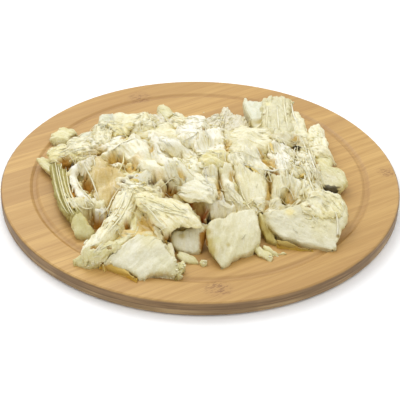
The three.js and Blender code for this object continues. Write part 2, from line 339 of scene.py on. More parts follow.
def surface_value(part, name, kind, values):
    """Stores one value for each vertex of the part, for its material to read."""
    layer = part.data.attributes.get(name) or part.data.attributes.new(name, kind, "POINT")
    key = {"FLOAT": "value", "FLOAT_VECTOR": "vector", "FLOAT_COLOR": "color"}[kind]
    layer.data.foreach_set(key, np.asarray(values, dtype=np.float32).ravel())


def cells_of(x, y):
    column = np.clip((x / GRID + GRID_HALF).astype(int), 0, 2 * GRID_HALF - 1)
    row = np.clip((y / GRID + GRID_HALF).astype(int), 0, 2 * GRID_HALF - 1)
    return row, column


def settle(part):
    """Raises the ground by a part that has come to lie on it."""
    spots = measure(part)
    np.maximum.at(ground, cells_of(spots[:, 0], spots[:, 1]), spots[:, 2])


def evened(area, softness):
    """The ground as a soft sheet lies on it, filled and evened out."""
    around = [(i, j) for i in (-1, 0, 1) for j in (-1, 0, 1)]
    area = np.max([np.roll(area, shift, (0, 1)) for shift in around], axis=0)
    for _ in range(softness):
        area = sum(np.roll(area, shift, (0, 1)) for shift in around) / 9
    return area


def lie_of(x, y, softness):
    """How high a soft sheet lies at these places."""
    row, column = cells_of(x, y)
    pad = 12
    low_row, low_column = max(row.min() - pad, 0), max(column.min() - pad, 0)
    window = ground[low_row : row.max() + pad + 1, low_column : column.max() + pad + 1]
    window = evened(window, softness)
    right = np.clip(x / GRID + GRID_HALF - 0.5 - low_column, 0, window.shape[1] - 1.01)
    back = np.clip(y / GRID + GRID_HALF - 0.5 - low_row, 0, window.shape[0] - 1.01)
    i, j = back.astype(int), right.astype(int)
    u, v = right - j, back - i
    return (
        window[i, j] * (1 - u) * (1 - v) + window[i, j + 1] * u * (1 - v)
        + window[i + 1, j] * (1 - u) * v + window[i + 1, j + 1] * u * v
    )


def relief(name, spacing):
    """A soft noise and the space that it is measured in, stretched along a piece's fibres."""
    bpy.ops.object.select_all(action="DESELECT")
    bpy.ops.object.empty_add(location=(0, 0, 0))
    space = bpy.context.object
    space.name = name + "_space"
    space.scale = [s * MM for s in spacing]
    pattern = bpy.data.textures.new(name, "CLOUDS")
    pattern.noise_scale = 1.0
    pattern.noise_depth = 1
    return pattern, space


waves = relief("waves", (30, 12, 60))
frays = relief("frays", (90, 2.6, 5))
wide_frays = relief("wide_frays", (140, 9, 12))
wander = relief("wander", (9, 14, 12))
lumps = relief("lumps", (13, 8, 8))
fibres = relief("fibres", (22, 2.4, 3.0))
crumbs = relief("crumbs", (2.8, 1.8, 1.8))
random.seed(11)


def even_cells(part, size):
    """Rebuilds a part from even cells, so that it can be shaped all over."""
    remesh = part.modifiers.new("even_cells", "REMESH")
    remesh.mode = "VOXEL"
    remesh.voxel_size = size
    bpy.ops.object.modifier_apply(modifier=remesh.name)


def displace(part, pattern_and_space, direction, strength):
    pattern, space = pattern_and_space
    space.location = [random.uniform(-1, 1) for _ in range(3)]
    bpy.context.view_layer.update()
    change = part.modifiers.new("shape", "DISPLACE")
    change.texture = pattern
    change.texture_coords = "OBJECT"
    change.texture_coords_object = space
    change.direction = direction
    change.mid_level = 0.5
    change.strength = strength * MM
    bpy.ops.object.modifier_apply(modifier=change.name)


CORE_RELIEF = [
    (waves, "Z", 7), (lumps, "NORMAL", 6), (fibres, "NORMAL", 4), (crumbs, "NORMAL", 2)
]
cod_parts = []


def gather(name, made, *solids):
    """Joins the pieces of one kind, which stand for these solids."""
    bpy.ops.object.select_all(action="DESELECT")
    for part in made:
        part.select_set(True)
    bpy.context.view_layer.objects.active = made[0]
    bpy.ops.object.join()
    whole = bpy.context.object
    whole.name = name
    bpy.ops.object.shade_smooth()
    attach(whole, "root")
    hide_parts(*solids)
    cod_parts.append(whole)
    return whole


bpy.ops.object.select_all(action="DESELECT")
bpy.ops.mesh.primitive_circle_add(vertices=48, radius=1, fill_type="NGON")
core = bpy.context.object
for vertex in core.data.vertices:
    behind = vertex.co.y > 0
    vertex.co.x *= CORE_SHARE[0] * HEAP_REACH[0]
    vertex.co.y *= CORE_SHARE[1] * HEAP_REACH[2] if behind else HEAP_MIDDLE[1] - HEAP_FRONT
    vertex.co.z = -CORE_BLOCK
bpy.ops.object.mode_set(mode="EDIT")
bpy.ops.mesh.select_all(action="SELECT")
bpy.ops.mesh.extrude_region_move(TRANSFORM_OT_translate={"value": (0, 0, CORE_BLOCK)})
bpy.ops.object.mode_set(mode="OBJECT")
even_cells(core, CORE_CELL)
surface_value(core, "grain", "FLOAT_VECTOR", measure(core))
surface_value(core, "tint", "FLOAT_COLOR", np.tile(YELLOW, (len(core.data.vertices), 1)))
for pattern, way, strength in CORE_RELIEF:
    displace(core, pattern, way, strength)
places = measure(core)
x = places[:, 0] + HEAP_MIDDLE[0]
y = places[:, 1] + HEAP_MIDDLE[1]
full = heap_height(x, y) - CORE_UNDER - BOARD_TOP
z = BOARD_TOP + full * (1 + places[:, 2] / CORE_BLOCK)
put_back(core, np.column_stack((x, y, np.maximum(z, UNDER_BOARD_TOP))))
settle(core)
gather("heap_core", [core], "cod_heap")

# ---- Chunks in front ----
# Thick chunks of the fish's back, torn across, lie along the front of the board with their fibres
# running up the heap. One has a strip of golden skin left along its lower edge.
CELL = 1.0 * MM
SAG = 8
DEEPEST = 8 * MM
MIDDLE_SHARE = 0.6
LONGEST = 1.5
FIBRES_SEEN_AT = BOARD_TOP + 20 * MM
SUNK_IN = 0.8 * MM
DROOP_AT = 25 * MM
ROUNDING = 0.6
ROUNDS = 4
EDGE_SHARE = 0.3
GREENISH = rgb(216, 211, 165)
OLIVE = rgb(200, 193, 138)
# Pieces are painted yellower towards their edges, as painted shade where they meet what lies under
# and round them
SHADED_EDGE_TONE = rgb(214, 200, 138)
# How much a kind of piece waves, how far its ends are frayed and its edges wander, how lumpy, how
# fibrous and how crumbly it is, how wide its edges are thinned and to what share, how far it is
# drawn outwards and its foot drawn in, all in millimetres, and how thick loose shreds lie on it.
CHUNK = dict(
    wave=2.5, fray=2, wander=3, lump=3.5, fibre=0.7, crumb=0.9, edge=3.5, rim=0.82, growth=0.2,
    tuck=3, shreds=0.02,
)
FLAKE = dict(
    wave=2.5, fray=7, wander=7, lump=1.8, fibre=2.7, crumb=1.9, edge=8, rim=0.1, growth=3.0,
    tuck=0, shreds=0.16,
)
SHEET = dict(
    FLAKE, wave=2, fray=6, wander=4, lump=1.2, fibre=2.3, crumb=0.9, edge=7, rim=0.12,
    growth=2.0, shreds=0.05,
)
SLAB = dict(
    CHUNK, fray=4, wander=4, lump=2.5, fibre=2.0, crumb=1.6, edge=6, rim=0.4, shreds=0.03
)
RELIEF = [
    (waves, "Z", "wave"), (wide_frays, "X", "fray"), (frays, "X", "fray"),
    (wander, "Y", "wander"), (lumps, "NORMAL", "lump"), (fibres, "NORMAL", "fibre"),
    (crumbs, "NORMAL", "crumb"),
]
laid = []


def torn_piece(
    corners, along, thickness, colour, kind=FLAKE, lift=0.0, level=None, rise=(0, 0), bulge=0.0,
    plan=False, toe=None, top=20.0,
):
    """A piece torn out of the fish. Its corners are where the photograph shows them, or
    millimetres on the board where plan is set, and its fibres run along a direction given the
    same way. It lies on what is under it, or has its middle at a level of its own, or stands on
    the board where its toe is seen and is rounded off towards its top. Rise is its slope to the
    right and to the back, and bulge how far it droops 25 mm from its middle."""
    middle_guess = [sum(c[k] for c in corners) / len(corners) for k in (0, 1)]
    lying = evened(ground, SAG)

    def rough(x, y):
        if level is not None or toe:
            return BOARD_TOP + (MIDDLE_SHARE * top if toe else level) * MM
        last = 2 * GRID_HALF - 1
        row, column = (min(max(int(v / GRID + GRID_HALF), 0), last) for v in (y, x))
        under = max(lying[row, column], heap_height(x, y) - DEEPEST)
        return under + MIDDLE_SHARE * thickness * MM

    middle = Vector(middle_guess) * MM if plan else seen_through(*middle_guess, rough)
    foot = seen_through(*toe, lambda x, y: BOARD_TOP) if toe else None

    def height_at(x, y):
        if foot:
            climb = rise[0] * (x - foot.x) + rise[1] * (y - foot.y)
            return BOARD_TOP + top * MM * np.tanh(climb / (top * MM))
        if level is None:
            return rough(x, y)
        right, back = x - middle.x, y - middle.y
        droop = bulge * MM * (right**2 + back**2) / DROOP_AT**2
        return BOARD_TOP + level * MM + (rise[0] * right + rise[1] * back - droop)

    if plan:
        outline = [Vector(c) * MM for c in corners]
        way = Vector(along)
    else:
        outline = [seen_through(px, py, height_at) for px, py in corners]
        if level is None and not toe:
            reaches = sorted((spot - middle).length for spot in outline)
            limit = LONGEST * reaches[len(reaches) // 2]
            outline = [
                middle + (spot - middle) * min(1, limit / (spot - middle).length)
                for spot in outline
            ]
        start = seen_through(*middle_guess, lambda x, y: FIBRES_SEEN_AT)
        ahead = (middle_guess[0] + along[0], middle_guess[1] + along[1])
        end = seen_through(*ahead, lambda x, y: FIBRES_SEEN_AT)
        way = end - start
    turn = math.atan2(way.y, way.x)
    flat = Matrix.Rotation(-turn, 2)
    bpy.ops.object.select_all(action="DESELECT")
    bpy.ops.mesh.primitive_circle_add(vertices=len(outline), fill_type="NGON")
    piece = bpy.context.object
    outline = [spot + (spot - middle).normalized() * kind["growth"] * MM for spot in outline]
    firm = level is not None or toe is not None
    laid.append((middle, turn, outline, colour, kind["shreds"], firm))
    block = max(thickness, 3) * MM
    for vertex, spot in zip(piece.data.vertices, outline):
        vertex.co = (*(flat @ (spot - middle)), 0)
    bpy.ops.object.mode_set(mode="EDIT")
    bpy.ops.mesh.select_all(action="SELECT")
    bpy.ops.mesh.extrude_region_move(TRANSFORM_OT_translate={"value": (0, 0, block)})
    bpy.ops.mesh.select_all(action="SELECT")
    bpy.ops.mesh.normals_make_consistent(inside=False)
    bpy.ops.object.mode_set(mode="OBJECT")
    even_cells(piece, CELL)
    smooth = piece.modifiers.new("rounded", "SMOOTH")
    smooth.factor = ROUNDING
    smooth.iterations = ROUNDS
    bpy.ops.object.modifier_apply(modifier=smooth.name)
    places = measure(piece)
    inwards = np.full(len(places), 1.0)
    tucked = np.zeros((len(places), 2))
    ring = [flat @ (spot - middle) for spot in outline]
    sides = list(zip(ring, ring[1:] + ring[:1]))
    way_round = math.copysign(1, sum(a.x * b.y - b.x * a.y for a, b in sides))
    for a, b in sides:
        side = np.array(b - a)
        from_a = places[:, :2] - np.array(a)
        share = np.clip((from_a @ side) / (side @ side), 0, 1)
        away = np.linalg.norm(from_a - share[:, None] * side, axis=1) / (kind["edge"] * MM)
        nearer = away < inwards
        inwards[nearer] = away[nearer]
        tucked[nearer] = way_round * np.array((-side[1], side[0])) / np.linalg.norm(side)
    height_share = kind["rim"] + (1 - kind["rim"]) * np.sqrt(1 - (1 - inwards) ** 2)
    places[:, 2] *= height_share * thickness * MM / block
    put_back(piece, places)
    shift = [random.uniform(-1, 1) for _ in range(3)]
    surface_value(piece, "grain", "FLOAT_VECTOR", measure(piece) + np.array(shift))
    tones = np.tile(np.array(colour), (len(places), 1))
    # painted shade along the piece's edges
    edge_shade_share = EDGE_SHARE * np.clip(1 - inwards, 0, 1)[:, None]
    tones = tones * (1 - edge_shade_share) + edge_shade_share * np.array(SHADED_EDGE_TONE)
    surface_value(piece, "tint", "FLOAT_COLOR", tones)
    for pattern, direction, measured in RELIEF:
        displace(piece, pattern, direction, kind[measured])
    places = measure(piece)
    cosine, sine = math.cos(turn), math.sin(turn)
    x = middle.x + cosine * places[:, 0] - sine * places[:, 1]
    y = middle.y + sine * places[:, 0] + cosine * places[:, 1]
    if firm:
        z = height_at(x, y) + places[:, 2] - thickness * MM
    else:
        z = lie_of(x, y, SAG) + lift * MM - SUNK_IN + places[:, 2]
    tuck = kind["tuck"] * MM
    if tuck:
        low = np.clip(1 - (z - BOARD_TOP) / (2 * tuck), 0, 1) * (1 - inwards) * tuck
        x = x + low * (cosine * tucked[:, 0] - sine * tucked[:, 1])
        y = y + low * (sine * tucked[:, 0] + cosine * tucked[:, 1])
    put_back(piece, np.column_stack((x, y, np.maximum(z, UNDER_BOARD_TOP))))
    settle(piece)
    return piece


CUT_WHITE = rgb(215, 211, 184)
CUT_CREAM = rgb(216, 211, 178)
SKIN_GOLD = rgb(200, 168, 88)
UNDERSIDE_SHADE_BROWN = rgb(174, 150, 86)
LOOSE_BIT = dict(CHUNK, lump=3, fibre=2, fray=5, tuck=1)
front_left = [
    torn_piece(
        [(100, 263), (108, 255), (118, 247), (128, 239), (138, 231), (147, 229), (156, 233),
         (165, 243), (173, 254), (178, 263), (182, 268), (180, 277), (172, 277), (160, 275),
         (151, 276), (146, 283), (139, 282), (132, 275), (118, 267), (106, 262)],
        (10, -6), 22, CUT_WHITE, CHUNK, toe=(144, 284), rise=(0.06, 0.62), top=26,
    ),
    torn_piece(
        [(99, 261), (106, 260), (118, 264), (130, 271), (140, 278), (134, 281), (118, 277),
         (106, 271), (101, 267)],
        (20, 10), 10, SKIN_GOLD, dict(CHUNK, fray=0.5, lump=0.8, wander=1), toe=(122, 279),
        rise=(0.4, 0.9), top=12,
    ),
    torn_piece(
        [(175, 262), (183, 260), (186, 266), (184, 276), (178, 280), (173, 278), (173, 268)],
        (10, 4), 8, GREENISH, dict(CHUNK, lump=5, crumb=2.4), toe=(179, 281), rise=(0, 0.9), top=9,
    ),
]
gather("front_left_chunk", front_left, "chunk_front_left")
front_centre = [
    torn_piece(
        [(254, 246), (262, 244), (268, 250), (274, 258), (272, 262), (266, 260), (260, 254)],
        (10, 14), 5, GREENISH, LOOSE_BIT, toe=(266, 262), rise=(-0.1, 0.7), top=6,
    ),
    torn_piece(
        [(262, 244), (270, 248), (279, 252), (287, 252), (287, 255), (277, 256), (266, 252)],
        (14, 5), 5, GREENISH, LOOSE_BIT, toe=(277, 257), rise=(-0.1, 0.7), top=6,
    ),
    torn_piece(
        [(208, 222), (218, 216), (231, 211), (244, 208), (255, 207), (259, 217), (262, 230),
         (261, 242), (257, 252), (248, 257), (238, 261), (230, 267), (223, 271), (218, 269),
         (214, 260), (209, 246), (207, 234)],
        (3, -10), 30, CUT_CREAM, dict(CHUNK, edge=2.5, tuck=4), toe=(222, 272), rise=(-0.3, 0.66),
        top=38,
    ),
]
gather("front_centre_chunk", front_centre, "chunk_front_centre")
front_right = [
    # a golden-brown strip along its lower edge, painted shade of the chunk's underside
    torn_piece(
        [(276, 238), (286, 240), (298, 244), (308, 247), (316, 250), (312, 252), (300, 251),
         (286, 247), (278, 243)],
        (20, 5), 8, UNDERSIDE_SHADE_BROWN, dict(CHUNK, fray=0.5, lump=1.5, wander=1.5), toe=(300, 252),
        rise=(-0.25, 0.9), top=9,
    ),
    torn_piece(
        [(259, 212), (265, 214), (272, 228), (280, 243), (284, 247), (272, 246), (264, 241),
         (260, 226)],
        (3, 10), 14, OLIVE, CHUNK, toe=(275, 248), rise=(0.0, 0.75), top=18,
    ),
    torn_piece(
        [(263, 212), (270, 206), (282, 208), (294, 204), (306, 200), (315, 194), (326, 191),
         (337, 192), (344, 198), (347, 208), (346, 221), (342, 234), (341, 243), (340, 251),
         (332, 255), (322, 251), (308, 248), (296, 244), (284, 240), (276, 234), (269, 226)],
        (10, 2), 24, CUT_WHITE, dict(CHUNK, tuck=4.5), toe=(318, 255), rise=(-0.05, 0.62), top=25,
    ),
]
gather("front_right_chunk", front_right, "chunk_front_right")
front_middle = [
    torn_piece(
        [(199, 259), (204, 257), (208, 260), (207, 265), (202, 267), (199, 263)],
        (5, 5), 5, GREENISH, dict(CHUNK, lump=2, wander=1, tuck=1), toe=(203, 268), rise=(0, 1.0),
        top=6,
    ),
    torn_piece(
        [(178, 250), (188, 254), (197, 260), (200, 265), (193, 265), (184, 262), (176, 256)],
        (10, 6), 5, GREENISH, dict(CHUNK, lump=3, tuck=1), toe=(190, 266), rise=(0, 0.7), top=6,
    ),
    torn_piece(
        [(168, 233), (176, 228), (190, 226), (200, 223), (206, 227), (205, 243), (202, 253),
         (193, 257), (180, 256), (172, 248)],
        (2, 10), 24, CUT_CREAM, CHUNK, toe=(190, 258), rise=(0, 0.8), top=38,
    ),
]
gather("front_middle_block", front_middle, "block_front_middle")

# ---- Strand, lobe and fibres on the left ----
# A thick strand with a blunt end, a greenish lobe and a bundle of loose fibres lie along the left
# side, pulled off the heap.
STRAND_GREEN = rgb(214, 210, 164)
FIBRE_OLIVE = rgb(161, 155, 104)
FIBRES = dict(CHUNK, fibre=2.2, lump=3)
blunt_strand = torn_piece(
    [(72, 257), (79, 253), (90, 252), (99, 248), (108, 243), (118, 237), (127, 231), (134, 229),
     (137, 233), (128, 239), (118, 247), (108, 255), (101, 264), (93, 268), (84, 270), (76, 269),
     (71, 265)],
    (10, -5), 14, STRAND_GREEN, dict(CHUNK, lump=3, wander=2), toe=(86, 271), rise=(0.4, 1.2),
    top=15,
)
gather("front_left_strand", [blunt_strand], "strand_front_left")
lobe = torn_piece(
    [(73, 210), (80, 212), (87, 217), (92, 225), (95, 233), (92, 240), (86, 243), (79, 241),
     (73, 235), (72, 222)],
    (4, 10), 16, OLIVE, dict(CHUNK, wave=1), toe=(84, 244), rise=(0, 1.0), top=18,
)
gather("left_front_lobe", [lobe], "lobe_left_front")
left_fibres = [
    torn_piece(
        [(50, 164), (56, 161), (61, 178), (65, 194), (71, 212), (66, 213), (58, 200), (53, 184)],
        (4, 20), 9, FIBRE_OLIVE, FIBRES, level=12, rise=(0.1, 0),
    ),
    torn_piece(
        [(56, 162), (62, 163), (67, 180), (71, 196), (77, 214), (71, 214), (64, 198), (60, 182)],
        (4, 20), 10, FIBRE_OLIVE, FIBRES, level=14, rise=(0.1, 0),
    ),
    torn_piece(
        [(62, 167), (67, 168), (71, 184), (76, 200), (81, 212), (75, 212), (68, 196), (64, 180)],
        (4, 20), 10, FIBRE_OLIVE, FIBRES, level=15, rise=(0.1, 0),
    ),
]
gather("left_fibre_bundle", left_fibres, "fibre_bundle_left")
top_flake = torn_piece(
    [(50, 138), (52, 131), (58, 127), (66, 124), (73, 126), (78, 129), (79, 132), (75, 135),
     (73, 139), (70, 144), (62, 148), (53, 147)],
    (10, 1), 12, GREENISH,
    dict(CHUNK, wave=2, lump=4, fray=6, wander=6, crumb=1.6, edge=6, rim=0.5), toe=(60, 149),
    rise=(0.1, 0.8), top=11,
)
gather("left_top_flake", [top_flake], "flake_left_top")

# ---- Flakes at the back ----
# At the back left lies a broad flake with a bluish, nearly clear end. At the back right lies a slab
# whose fibres stand up to a comb-like edge.
BLUISH = rgb(218, 219, 198)
CREAM = rgb(236, 232, 202)
SLAB_TONE = rgb(216, 211, 176)
PLUMP = dict(CHUNK, lump=3)
back_left = [
    torn_piece(
        [(99, 120), (101, 114), (107, 112), (114, 113), (116, 122), (111, 129), (103, 127)],
        (10, 1), 9, BLUISH, PLUMP, level=16, rise=(0.1, 0.1),
    ),
    torn_piece(
        [(107, 113), (116, 111), (128, 112), (143, 112), (150, 116), (146, 122), (136, 126),
         (124, 129), (110, 128)],
        (10, 2), 12, CREAM, dict(CHUNK, wave=4, fibre=1.2), level=18, rise=(0.1, 0.17),
    ),
]
gather("back_left_flake", back_left, "flake_back_left")
back_right = [
    torn_piece(
        [(243, 98), (246, 97), (248, 101), (254, 100), (264, 101), (266, 114), (262, 126),
         (254, 127), (248, 117), (245, 108)],
        (5, 10), 9, BLUISH, PLUMP, level=19, rise=(0.2, 0.1),
    ),
    torn_piece(
        [(260, 101), (266, 97), (275, 95), (284, 97), (293, 99), (291, 106), (291, 115),
         (294, 128), (287, 137), (275, 139), (266, 134), (262, 120), (261, 110)],
        (0.5, 10), 22, SLAB_TONE, dict(CHUNK, wave=3, lump=3, fibre=3, crumb=3), level=24.5,
        rise=(0, -0.03), bulge=2,
    ),
    torn_piece(
        [(286, 104), (293, 109), (300, 115), (304, 122), (306, 130), (312, 136), (306, 140),
         (298, 138), (290, 134), (285, 118)],
        (3, 10), 12, CREAM, dict(CHUNK, wave=4, fibre=3, crumb=3, lump=4.5), level=19,
        rise=(-0.3, 0),
    ),
]
gather("back_right_slab", back_right, "slab_back_right")
back_piece = torn_piece(
    [(308, 126), (313, 123), (320, 124), (324, 129), (326, 137), (329, 146), (328, 154),
     (320, 154), (311, 149), (307, 138)],
    (2, 10), 14, CREAM, dict(CHUNK, lump=5, crumb=2), level=16, rise=(-0.15, 0),
)
gather("right_back_piece", [back_piece], "piece_right_back")
flake = torn_piece(
    [(313, 155), (322, 151), (331, 152), (333, 158), (331, 165), (338, 167), (345, 173),
     (347, 181), (342, 187), (333, 189), (322, 188), (314, 176)],
    (10, 6), 9, GREENISH, PLUMP, level=14, rise=(-0.15, 0.1), bulge=2,
)
gather("right_flake", [flake], "flake_right")

# ---- Sheets on the heap ----
# The fish comes apart in soft flakes. They lie over each other from the left of the heap to the
# right, thick in the middle and thin at the torn edges, and sag over what is under them.
WHITE = rgb(242, 241, 229)
IVORY = rgb(240, 238, 217)
TAN = rgb(214, 197, 146)
GREY = rgb(218, 212, 190)
PAINTED_SHADE_AMBER = rgb(226, 202, 132)
PAINTED_SHADE_GOLDEN = rgb(228, 204, 138)
PALE_YELLOW = rgb(242, 238, 206)
SOFT_YELLOW = rgb(242, 236, 200)
WARM_YELLOW = rgb(240, 235, 198)
ROUGH_CHUNK = dict(CHUNK, lump=4, crumb=2, fibre=2)
CRUMBLY_FLAKE = dict(FLAKE, crumb=2, lump=5)
SOFT_SHEET = dict(SHEET, fibre=2, edge=5, shreds=0.04)
STRIP = dict(SHEET, fray=1, wander=2)
